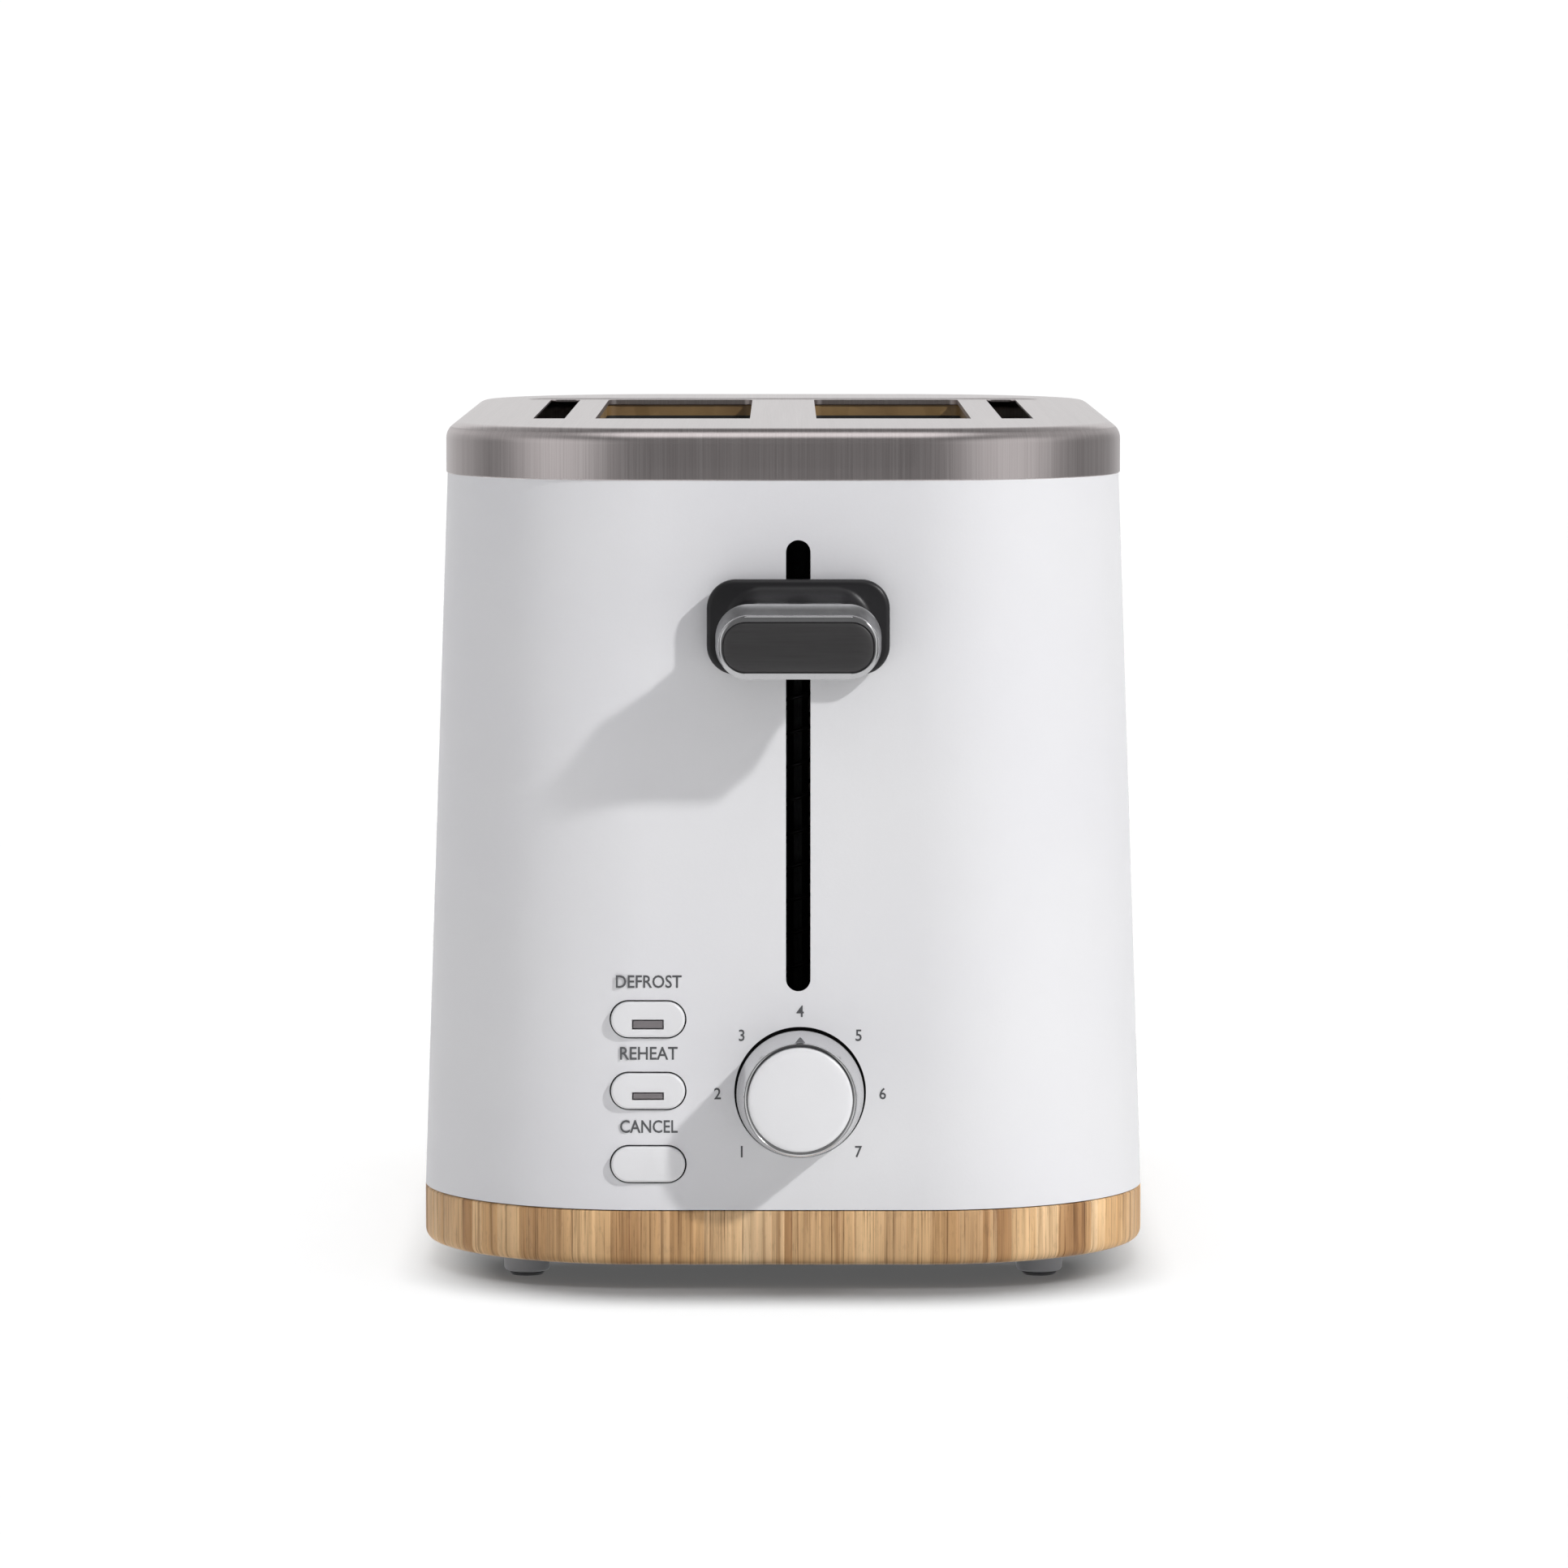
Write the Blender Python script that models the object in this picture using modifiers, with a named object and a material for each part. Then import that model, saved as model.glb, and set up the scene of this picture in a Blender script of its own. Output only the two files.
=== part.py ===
"""Two-slice pop-up toaster: painted steel shell, steel top cover, timber base band and the works inside.

Units are metres and +Z is up. The toaster stands on Z = 0 with its control end towards -Y.
Three empties carry the pieces: body_frame (x, y, z from the middle of the body), front_frame and
rear_frame (x across, y up along the face, z straight out of it).
"""

import math

import bmesh
import bpy
from mathutils import Vector

# Body
BODY_WIDTH = 0.171
BODY_LENGTH = 0.272
CORNER_RADIUS = 0.0526
SIDE_TAPER = 0.0058
END_TAPER = 0.0035
CORNER_TAPER = 0.003
CORNER_STEPS = 8
BAND_BOTTOM = 0.0055
BAND_TOP = 0.0183
BAND_WALL = 0.006
RIM_BOTTOM = 0.1881
TOP = 0.2002
SHEET = 0.0008
GAP = 0.0003
SHELL_TOP = 0.1912
RIM_OVERHANG = 0.0012
RIM_ROUND = 0.0038
LEAN = math.atan(END_TAPER / (RIM_BOTTOM - BAND_TOP))

# Openings in the top
SLOT_X = 0.02665
SLOT_WIDTH = 0.0373
SLOT_LENGTH = 0.150
SLOT_Y = 0.015
VENT_X = 0.0565
VENT_WIDTH = 0.0076
COLLAR_BOTTOM = 0.192

# Controls on the front face
LEVER_X = 0.0035
LEVER_Z = 0.1545
LEVER_SLOT_WIDTH = 0.0062
LEVER_SLOT_LOW = 0.0696
LEVER_SLOT_HIGH = 0.1744
GRIP_Z = 0.1515
GRIP_REACH = 0.0278
ARM_HALF = (0.002, 0.004)
DIAL_X = 0.00395
DIAL_Z = 0.0458
DIAL_RADIUS = 0.0153
DIAL_HOLE = 0.0157
BUTTON_X = -0.0314
BUTTON_HEIGHTS = {"defrost": 0.0631, "reheat": 0.0464, "cancel": 0.0293}
BUTTON_HALF = (0.0086, 0.00415)
BUTTON_GAP = 0.00035
STEM_HALF = 0.0015
LENS_DROP = 0.0011
LENS_HALF = (0.0034, 0.00085)

# Works
BULKHEAD_HALF_WIDTH = 0.070
BULKHEAD_TOP = 0.188
BULKHEAD_SHEET = 0.001
FRONT_BULKHEAD_Y = -0.0675
REAR_BULKHEAD_Y = 0.0975
PAN_BOTTOM = 0.0066
PAN_TOP = 0.0091
ROD_Y = -0.088
ROD_RADIUS = 0.0025
ROD_POST_TOP = 0.033
SHELF_Z = 0.1785
LEVER_DROP = 0.078
RACK_LOW = 0.112
RACK_HIGH = 0.120
SLIDER_HALF = (0.0065, 0.009)
SLIDER_BACK = -0.0812
BRACKET_Y = -0.0803
BOARD_X = (0.0040, 0.0505)
GUARD_X = (0.0096, 0.0438)
GUARD_PIVOT_Z = 0.037
GUARD_TOP_Z = 0.184
TRAY_HALF = 0.0495
TRAY_FRONT = -0.058
TRAY_REAR = 0.1276
TRAY_BOTTOM = 0.0188
TRAY_DEPTH = 0.0082
HANDLE_HALF = 0.0504
PULL_REACH = 0.142
FOOT_XY = (0.0604, 0.1106)
GLAND_X = -0.024
GLAND_Z = 0.044
BLOCK_HALF_WIDTH = 0.010
MAGNET_TOP = 0.044
MAGNET_SPAN = (-0.025, -0.009)
SCREW_PLACES = [(side_x * 0.044, y) for side_x in (-1, 1) for y in (-0.098, 0.108)]

GRIP_FRONT_Y = -BODY_LENGTH / 2 + END_TAPER * (GRIP_Z - BAND_TOP) / (RIM_BOTTOM - BAND_TOP) - GRIP_REACH
BODY_Y = -(GRIP_FRONT_Y + PULL_REACH) / 2


# ---------------------------------------------------------------- helpers
def collection(name):
    made = bpy.data.collections.new(name)
    bpy.context.scene.collection.children.link(made)
    return made


def frame_empty(name, location, rotation=(0, 0, 0), parent=None):
    empty = bpy.data.objects.new(name, None)
    parts.objects.link(empty)
    empty.location = location
    empty.rotation_euler = rotation
    empty.parent = parent
    return empty


def material(name, colour, roughness, metallic=0.0):
    made = bpy.data.materials.new(name)
    made.use_nodes = True
    shader = made.node_tree.nodes["Principled BSDF"]
    shader.inputs["Base Color"].default_value = (*colour, 1)
    shader.inputs["Roughness"].default_value = roughness
    shader.inputs["Metallic"].default_value = metallic
    return made


def mesh_object(name, bm):
    mesh = bpy.data.meshes.new(name)
    bm.to_mesh(mesh)
    bm.free()
    mesh.shade_smooth()
    mesh.set_sharp_from_angle(angle=math.radians(35))
    return bpy.data.objects.new(name, mesh)


def keep(obj, finish, frame):
    """Makes obj a part: in the parts collection, with its finish, carried by a frame."""
    parts.objects.link(obj)
    obj.parent = frame
    obj.data.materials.append(finish)
    return obj


def helper(obj, frame):
    """Makes obj a cutter or a lump that a Boolean reads."""
    cutters.objects.link(obj)
    obj.parent = frame
    obj.hide_render = True
    obj.display_type = "WIRE"
    return obj


def boolean(target, other, operation):
    modifier = target.modifiers.new(operation.title(), "BOOLEAN")
    modifier.operation = operation
    modifier.object = other


def cut(target, *others):
    for other in others:
        boolean(target, helper(other, other.parent or target.parent), "DIFFERENCE")


def join(target, *others):
    for other in others:
        boolean(target, helper(other, other.parent or target.parent), "UNION")


def box(name, low, high):
    """A block between two corners."""
    bm = bmesh.new()
    bmesh.ops.create_cube(bm, size=1)
    bmesh.ops.scale(bm, vec=[b - a for a, b in zip(low, high)], verts=bm.verts)
    obj = mesh_object(name, bm)
    obj.location = [(a + b) / 2 for a, b in zip(low, high)]
    return obj


def cylinder(name, radius, low, high, centre, sides=24):
    """A round bar along the frame's Z, centred on (x, y)."""
    bm = bmesh.new()
    bmesh.ops.create_cone(bm, cap_ends=True, segments=sides, radius1=radius, radius2=radius, depth=high - low)
    obj = mesh_object(name, bm)
    obj.location = (*centre, (low + high) / 2)
    return obj


def outline(half_x, half_y, radius, steps=CORNER_STEPS, centre=(0, 0)):
    """A rounded rectangle, anticlockwise. A radius of half_y makes a pill."""
    points = []
    for corner, (side_x, side_y) in enumerate(((1, 1), (-1, 1), (-1, -1), (1, -1))):
        middle_x = centre[0] + side_x * (half_x - radius)
        middle_y = centre[1] + side_y * (half_y - radius)
        for step in range(steps + 1):
            angle = math.radians(90 * (corner + step / steps))
            points.append((middle_x + radius * math.cos(angle), middle_y + radius * math.sin(angle)))
    return points


def circle(radius, centre=(0, 0), sides=16):
    x, y = centre
    turns = [2 * math.pi * k / sides for k in range(sides)]
    return [(x + radius * math.cos(turn), y + radius * math.sin(turn)) for turn in turns]


def rectangle(low, high):
    return [low, (high[0], low[1]), high, (low[0], high[1])]


def body_ring(shape_z, offset, z):
    """The body's outline as it is at height shape_z, moved outwards by offset and set at height z."""
    rise = (shape_z - BAND_TOP) / (RIM_BOTTOM - BAND_TOP)
    half_x = BODY_WIDTH / 2 - SIDE_TAPER * rise + offset
    half_y = BODY_LENGTH / 2 - END_TAPER * rise + offset
    radius = CORNER_RADIUS - CORNER_TAPER * rise + offset
    return [(x, y, z) for x, y in outline(half_x, half_y, radius)]


def loft(name, rings, bottom=True, top=True):
    """The surface through rings that rise along Z, closed below and above as asked."""
    bm = bmesh.new()
    made = [[bm.verts.new(point) for point in ring] for ring in rings]
    for lower, upper in zip(made, made[1:]):
        for k in range(len(lower)):
            after = (k + 1) % len(lower)
            bm.faces.new((lower[k], lower[after], upper[after], upper[k]))
    if bottom:
        bm.faces.new(reversed(made[0]))
    if top:
        bm.faces.new(made[-1])
    bmesh.ops.remove_doubles(bm, verts=bm.verts, dist=1e-6)
    return mesh_object(name, bm)


def prism(name, points, low, high):
    return loft(name, [[(x, y, z) for x, y in points] for z in (low, high)])


def stepped(name, sections, centre, steps=4):
    """A rounded bar along Z. Each section is (z, half_x, half_y, radius, shift of its middle in y)."""
    return loft(
        name,
        [
            [(x, y, z) for x, y in outline(half_x, half_y, radius, steps, (centre[0], centre[1] + shift))]
            for z, half_x, half_y, radius, shift in sections
        ],
    )


def turned(name, profile, centre, steps=24, closed=False):
    """A shape turned about Z. The profile of (radius, z) runs down its outer side; closed leaves a bore."""
    bm = bmesh.new()
    verts = [bm.verts.new((radius, 0, z)) for radius, z in profile]
    for first, second in zip(verts, verts[1:]):
        bm.edges.new((first, second))
    if closed:
        bm.edges.new((verts[-1], verts[0]))
    mesh = bpy.data.meshes.new(name)
    bm.to_mesh(mesh)
    bm.free()
    obj = bpy.data.objects.new(name, mesh)
    obj.location = (*centre, 0)
    screw = obj.modifiers.new("Turn", "SCREW")
    screw.axis = "Z"
    screw.steps = steps
    screw.render_steps = steps
    screw.use_merge_vertices = True
    screw.merge_threshold = 1e-6
    return obj


def plate(name, loops, thickness, location, rotation):
    """A flat sheet: the first loop is its outline and the others are holes."""
    data = bpy.data.curves.new(name, "CURVE")
    data.dimensions = "2D"
    data.fill_mode = "BOTH"
    data.extrude = thickness / 2
    for loop in loops:
        spline = data.splines.new("POLY")
        spline.points.add(len(loop) - 1)
        for point, (x, y) in zip(spline.points, loop):
            point.co = (x, y, 0, 1)
        spline.use_cyclic_u = True
    obj = bpy.data.objects.new(name, data)
    obj.location = location
    obj.rotation_euler = rotation
    return obj


def wire(name, points, radius, resolution=2):
    data = bpy.data.curves.new(name, "CURVE")
    data.dimensions = "3D"
    data.bevel_depth = radius
    data.bevel_resolution = resolution
    data.use_fill_caps = True
    spline = data.splines.new("POLY")
    spline.points.add(len(points) - 1)
    for point, place in zip(spline.points, points):
        point.co = (*place, 1)
    return bpy.data.objects.new(name, data)


def as_mesh(curve):
    """The same shape as a mesh with its caps welded, so that Booleans can work on it."""
    bpy.context.scene.collection.objects.link(curve)
    bpy.context.view_layer.update()
    mesh = bpy.data.meshes.new_from_object(curve.evaluated_get(bpy.context.evaluated_depsgraph_get()))
    name, world = curve.name, curve.matrix_world.copy()
    bpy.data.objects.remove(curve)
    bm = bmesh.new()
    bm.from_mesh(mesh)
    bmesh.ops.remove_doubles(bm, verts=bm.verts, dist=1e-6)
    bm.to_mesh(mesh)
    bm.free()
    mesh.name = name
    obj = bpy.data.objects.new(name, mesh)
    obj.matrix_world = world
    return obj


def solidify(obj, thickness):
    modifier = obj.modifiers.new("Wall", "SOLIDIFY")
    modifier.thickness = thickness
    modifier.offset = -1
    modifier.use_even_offset = True


def bevel(obj, width, segments=2):
    modifier = obj.modifiers.new("Edges", "BEVEL")
    modifier.width = width
    modifier.segments = segments
    modifier.limit_method = "ANGLE"
    modifier.angle_limit = math.radians(40)


FACING_Y = (math.pi / 2, 0, 0)  # a flat sheet stood up, its face towards -Y
FACING_X = (math.pi / 2, 0, math.pi / 2)  # a flat sheet stood up, its face towards +X


# ---------------------------------------------------------------- casing
def make_body_shell():
    """The painted wrap: a tapered tube with the control openings, the tray notch and the cord hole."""
    rings = [body_ring(z, 0, z) for z in (BAND_TOP + GAP, SHELL_TOP)]
    shell = keep(loft("body_shell", rings, bottom=False, top=False), white_paint, body_frame)
    solidify(shell, SHEET)
    middle = (LEVER_SLOT_LOW + LEVER_SLOT_HIGH) / 2
    half = (LEVER_SLOT_HIGH - LEVER_SLOT_LOW) / 2
    slot = outline(LEVER_SLOT_WIDTH / 2, half, LEVER_SLOT_WIDTH / 2, 4, (LEVER_X, middle))
    cutters_in_front = [prism("lever_slot_cut", slot, -0.004, 0.003)]
    cutters_in_front.append(cylinder("dial_cut", DIAL_HOLE, -0.004, 0.003, (DIAL_X, DIAL_Z), 32))
    for name, height in BUTTON_HEIGHTS.items():
        half_x, half_y = (size + BUTTON_GAP for size in BUTTON_HALF)
        hole = outline(half_x, half_y, half_y, 4, (BUTTON_X, height))
        cutters_in_front.append(prism(name + "_hole_cut", hole, -0.006, 0.003))
    for cutter in cutters_in_front:
        cutter.parent = front_frame
    gland_cut = cylinder("gland_cut", 0.007, -0.004, 0.003, (-GLAND_X, GLAND_Z))
    gland_cut.parent = rear_frame
    notch, notch_top = HANDLE_HALF + 0.0006, TRAY_BOTTOM + TRAY_DEPTH + 0.0022
    tray_cut = box("tray_notch_cut", (-notch, 0.125, 0.010), (notch, 0.145, notch_top))
    cut(shell, *cutters_in_front, gland_cut, tray_cut)


def make_top_cover():
    """The pressed steel lid: a vertical rim, a rounded edge, two bread slots with lips and two vents."""
    rings = [body_ring(RIM_BOTTOM, RIM_OVERHANG, RIM_BOTTOM)]
    round_steps = 4
    for step in range(round_steps + 1):
        angle = math.radians(90 * step / round_steps)
        inset = RIM_ROUND * (1 - math.cos(angle))
        rings.append(body_ring(RIM_BOTTOM, RIM_OVERHANG - inset, TOP - RIM_ROUND * (1 - math.sin(angle))))
    cover = keep(loft("top_cover", rings, bottom=False), brushed_steel, body_frame)
    solidify(cover, SHEET)
    half_length = SLOT_LENGTH / 2
    slot_cuts = []
    for side in (-1, 1):
        where = (side * SLOT_X, SLOT_Y)
        lip = outline(SLOT_WIDTH / 2 + SHEET, half_length + SHEET, 0.0033, 3, where)
        join(cover, prism(f"slot_lip_{side}", lip, COLLAR_BOTTOM, TOP - SHEET / 2))
        slot = outline(SLOT_WIDTH / 2, half_length, 0.0025, 3, where)
        slot_cuts.append(prism(f"slot_cut_{side}", slot, COLLAR_BOTTOM - 0.01, TOP + 0.01))
        vent = outline(VENT_WIDTH / 2, half_length, 0.0015, 2, (side * VENT_X, SLOT_Y))
        slot_cuts.append(prism(f"vent_cut_{side}", vent, COLLAR_BOTTOM - 0.01, TOP + 0.01))
    cut(cover, *slot_cuts)


def make_wood_band():
    rings = [body_ring(BAND_TOP, 0, z) for z in (BAND_BOTTOM, BAND_TOP)]
    band = keep(loft("wood_band", rings, bottom=False, top=False), timber, body_frame)
    solidify(band, BAND_WALL)
    bevel(band, 0.001, 1)


def make_base_pan():
    """The plastic floor, with the rails that carry the crumb tray, the rod post and air slots."""
    rings = [body_ring(BAND_TOP, -BAND_WALL - GAP, z) for z in (PAN_BOTTOM, PAN_TOP)]
    pan = keep(loft("base_pan", rings), grey_plastic, body_frame)
    for side in (-1, 1):
        low, high = sorted((side * 0.045, side * 0.047))
        join(pan, box(f"tray_rail_{side}", (low, -0.060, PAN_TOP - 0.001), (high, 0.118, TRAY_BOTTOM - GAP)))
    join(pan, cylinder("rod_post", 0.006, PAN_TOP - 0.001, ROD_POST_TOP, (LEVER_X, ROD_Y), 16))
    cut(pan, cylinder("rod_bore_cut", ROD_RADIUS + GAP, 0.0095, 0.04, (LEVER_X, ROD_Y), 16))
    for x, y in SCREW_PLACES:
        cut(pan, cylinder("screw_hole_cut", 0.002, 0, 0.02, (x, y), 12))
    for row in range(6):
        y = -0.035 + 0.026 * row
        cut(pan, box("air_slot_cut", (-0.034, y - 0.002, 0), (0.034, y + 0.002, 0.02)))


def make_base_screws():
    profile = [(0, 0.015), (0.0016, 0.014), (0.0016, 0.0063), (0.0033, 0.0063), (0.0030, 0.0046), (0, 0.0046)]
    for number, place in enumerate(SCREW_PLACES, 1):
        keep(turned(f"base_screw_{number}", profile, place, 12), dark_steel, body_frame)


def make_feet():
    """Four soft pads. The one mesh is shared."""
    profile = [(0, PAN_BOTTOM - GAP), (0.0056, PAN_BOTTOM - GAP), (0.0052, 0.0006), (0.0046, 0), (0, 0)]
    for end, side_y in (("front", -1), ("rear", 1)):
        for hand, side_x in (("left", -1), ("right", 1)):
            foot = turned(f"foot_{end}_{hand}", profile, (side_x * FOOT_XY[0], side_y * FOOT_XY[1]), 16)
            keep(foot, foot_rubber, body_frame)


def make_cord_gland():
    """The grommet that the mains lead comes out of, with an open bore."""
    profile = [
        (0.0037, 0.0046), (0.0060, 0.0046), (0.0088, 0.0026), (0.0094, 0.0018), (0.0094, 0.00035),
        (0.0066, 0.00035), (0.0066, -0.0012), (0.0085, -0.0012), (0.0085, -0.0038), (0.0037, -0.0038),
    ]
    keep(turned("cord_gland", profile, (-GLAND_X, GLAND_Z), 20, closed=True), black_plastic, rear_frame)


# ---------------------------------------------------------------- controls
def make_lever():
    """The lever's grip: a plate by the shell, a waisted neck and a pill-shaped head with a bright ring."""
    rise = GRIP_Z - LEVER_Z
    sections = [
        (0.0021, 0.0204, 0.0102, 0.0060, 0),
        (0.0029, 0.02115, 0.0110, 0.0068, 0),
        (0.0052, 0.02115, 0.0110, 0.0068, 0),
        (0.0062, 0.0204, 0.0102, 0.0064, 0),
        (0.0090, 0.0184, 0.0082, 0.0064, rise * 0.5),
        (0.0140, 0.0174, 0.0068, 0.0062, rise * 0.9),
        (0.0200, 0.0180, 0.0066, 0.0064, rise),
        (0.0215, 0.0184, 0.0069, 0.0067, rise),
        (0.0216, 0.0174, 0.0054, 0.0052, rise),
        (0.0258, 0.0174, 0.0054, 0.0052, rise),
    ]
    grip = keep(stepped("lever_grip", sections, (LEVER_X, LEVER_Z)), black_plastic, front_frame)
    wide, tall = ARM_HALF[0] + 0.0004, ARM_HALF[1] + 0.0004
    low, high = (LEVER_X - wide, -0.152, LEVER_Z - tall), (LEVER_X + wide, -0.120, LEVER_Z + tall)
    socket = box("arm_socket_cut", low, high)
    socket.parent = body_frame
    cut(grip, socket)
    ring = [
        (0.0219, 0.0187, 0.0067, 0.0065, rise),
        (0.0225, 0.01925, 0.0072, 0.0070, rise),
        (0.0262, 0.01925, 0.0072, 0.0070, rise),
        (0.0270, 0.0186, 0.0065, 0.0063, rise),
    ]
    trim = keep(stepped("lever_trim", ring, (LEVER_X, LEVER_Z)), chrome, front_frame)
    bore = outline(0.0178, 0.0058, 0.0056, 4, (LEVER_X, LEVER_Z + rise))
    bore_cut = prism("trim_bore_cut", bore, 0.02, 0.03)
    bore_cut.parent = front_frame
    cut(trim, bore_cut)
    face = [(0.0261, 0.0174, 0.0054, 0.0052, rise), (0.0272, 0.0174, 0.0054, 0.0052, rise),
            (GRIP_REACH, 0.0164, 0.0045, 0.0043, rise)]
    keep(stepped("lever_face", face, (LEVER_X, LEVER_Z)), charcoal, front_frame)


def make_dial():
    """The browning dial: a bright tapered skirt with a hub, a white cap let into it, and its shaft."""
    where = (DIAL_X, DIAL_Z)
    skirt = [
        (0.0123, 0.0152), (0.0128, 0.0152), (0.0133, 0.0146), (0.0149, 0.0022), (DIAL_RADIUS, 0.0014),
        (DIAL_RADIUS, -0.0008), (0.0139, -0.0008), (0.0120, 0.0112), (0.0065, 0.0112), (0.0065, -0.0020),
        (ROD_RADIUS + 0.0009, -0.0020), (ROD_RADIUS + 0.0009, 0.0124), (0.0123, 0.0124),
    ]
    keep(turned("dial_skirt", skirt, where, 36, closed=True), chrome, front_frame)
    cap = [(0, 0.0160), (0.0060, 0.0159), (0.0104, 0.0156), (0.0116, 0.0151), (0.0119, 0.0144),
           (0.0119, 0.0128), (0, 0.0128)]
    keep(turned("dial_cap", cap, where, 36), white_plastic, front_frame)
    keep(cylinder("dial_shaft", 0.0030, -0.0149, 0.0121, where, 16), brass, front_frame)


def make_buttons():
    """Three pill buttons on stems. Defrost and reheat have a lamp lens in a window."""
    for name, height in BUTTON_HEIGHTS.items():
        half_x, half_y = BUTTON_HALF
        sections = [
            (-0.0028, half_x, half_y, half_y, 0),
            (0.0011, half_x, half_y, half_y, 0),
            (0.0016, half_x - 0.0005, half_y - 0.0005, half_y - 0.0005, 0),
        ]
        button = keep(stepped(f"{name}_button", sections, (BUTTON_X, height)), white_plastic, front_frame)
        stem = box(f"{name}_stem", (-STEM_HALF, -STEM_HALF, -0.0161), (STEM_HALF, STEM_HALF, -0.002))
        stem.location.xy = (BUTTON_X, height)
        stem.parent = front_frame
        join(button, stem)
        if name == "cancel":
            continue
        lens_y = height - LENS_DROP
        wide, tall = (size + GAP for size in LENS_HALF)
        low, high = (BUTTON_X - wide, lens_y - tall, -0.0010), (BUTTON_X + wide, lens_y + tall, 0.003)
        window = box(f"{name}_window_cut", low, high)
        window.parent = front_frame
        cut(button, window)
        wide, tall = LENS_HALF
        low, high = (BUTTON_X - wide, lens_y - tall, -0.0007), (BUTTON_X + wide, lens_y + tall, 0.0017)
        keep(box(f"{name}_lens", low, high), lens_grey, front_frame)


def make_control_board():
    """The circuit board behind the controls, with its browning control and three key switches."""
    board = plate(
        "control_board", [rectangle((-0.045, 0.022), (0.027, 0.067))], 0.0016, (0, 0, -0.0232), (0, 0, 0)
    )
    keep(board, board_green, front_frame)
    on_board = -0.0221
    low, high = (DIAL_X - 0.008, DIAL_Z - 0.008, on_board), (DIAL_X + 0.008, DIAL_Z + 0.008, -0.0152)
    keep(box("browning_control", low, high), dark_steel, front_frame)
    for name, height in BUTTON_HEIGHTS.items():
        low, high = (BUTTON_X - 0.003, height - 0.003, on_board), (BUTTON_X + 0.003, height + 0.003, -0.0177)
        keep(box(f"{name}_switch", low, high), black_plastic, front_frame)


def make_panel_carrier():
    """The black plate behind the shell that guides the arm, the shaft and the button stems."""
    arm_room = ARM_HALF[0] + 0.0007
    arm_slot = rectangle((LEVER_X - arm_room, 0.069), (LEVER_X + arm_room, 0.1755))
    holes = [arm_slot, circle(0.0075, (DIAL_X, DIAL_Z))]
    room = STEM_HALF + 0.0006
    for height in BUTTON_HEIGHTS.values():
        holes.append(rectangle((BUTTON_X - room, height - room), (BUTTON_X + room, height + room)))
    loops = [rectangle((-0.046, 0.020), (0.033, 0.182)), *holes]
    keep(plate("panel_carrier", loops, 0.002, (0, 0, -0.0055), (0, 0, 0)), black_plastic, front_frame)


# ---------------------------------------------------------------- oven
def bulkhead_holes():
    """What both end plates have: slots for the rack blades and holes for the guard pivots."""
    holes = []
    for side in (-1, 1):
        left, right = side * SLOT_X - 0.0013, side * SLOT_X + 0.0013
        holes.append(rectangle((left, RACK_LOW - LEVER_DROP - 0.002), (right, RACK_HIGH + 0.016)))
        holes += [circle(0.0015, (side * x, GUARD_PIVOT_Z), 12) for x in GUARD_X]
    return holes


def make_bulkheads():
    low, high = PAN_TOP + GAP, BULKHEAD_TOP
    wide = BULKHEAD_HALF_WIDTH
    swing_slots = []
    for side in (-1, 1):
        for inner, outer in ((0.0068, 0.0190), (0.0345, 0.0466)):
            left, right = sorted((side * inner, side * outer))
            swing_slots.append(rectangle((left, GUARD_TOP_Z - 0.002), (right, GUARD_TOP_Z + 0.002)))
    loops = [rectangle((-wide, low), (wide, high)), *bulkhead_holes(), *swing_slots]
    front = plate("front_bulkhead", loops, BULKHEAD_SHEET, (0, FRONT_BULKHEAD_Y, 0), FACING_Y)
    front = keep(as_mesh(front), zinc_steel, body_frame)
    shelf = box("rod_shelf", (-0.009, -0.096, SHELF_Z - 0.001), (0.009, FRONT_BULKHEAD_Y, SHELF_Z + 0.001))
    shelf.location.x = LEVER_X
    join(front, shelf)
    cut(front, cylinder("rod_hole_cut", ROD_RADIUS + GAP, 0.170, 0.186, (LEVER_X, ROD_Y), 16))
    notch = TRAY_HALF + 0.002
    doorway = TRAY_BOTTOM + TRAY_DEPTH + 0.0025
    around = [
        (-wide, low), (-notch, low), (-notch, doorway), (notch, doorway), (notch, low), (wide, low),
        (wide, high), (-wide, high),
    ]
    loops = [around, *bulkhead_holes()]
    rear = plate("rear_bulkhead", loops, BULKHEAD_SHEET, (0, REAR_BULKHEAD_Y, 0), FACING_Y)
    keep(rear, zinc_steel, body_frame)


def make_reflectors():
    loop = rectangle((FRONT_BULKHEAD_Y + 0.0009, 0.031), (REAR_BULKHEAD_Y - 0.0009, 0.187))
    for hand, side in (("left", -1), ("right", 1)):
        reflector = plate(f"reflector_{hand}", [loop], 0.0006, (side * 0.064, 0, 0), FACING_X)
        keep(reflector, zinc_steel, body_frame)


def left_to_right(inner, outer):
    """Name and x of the four boards or guards, from left to right."""
    return (("outer_left", -outer), ("inner_left", -inner), ("inner_right", inner), ("outer_right", outer))


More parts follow.
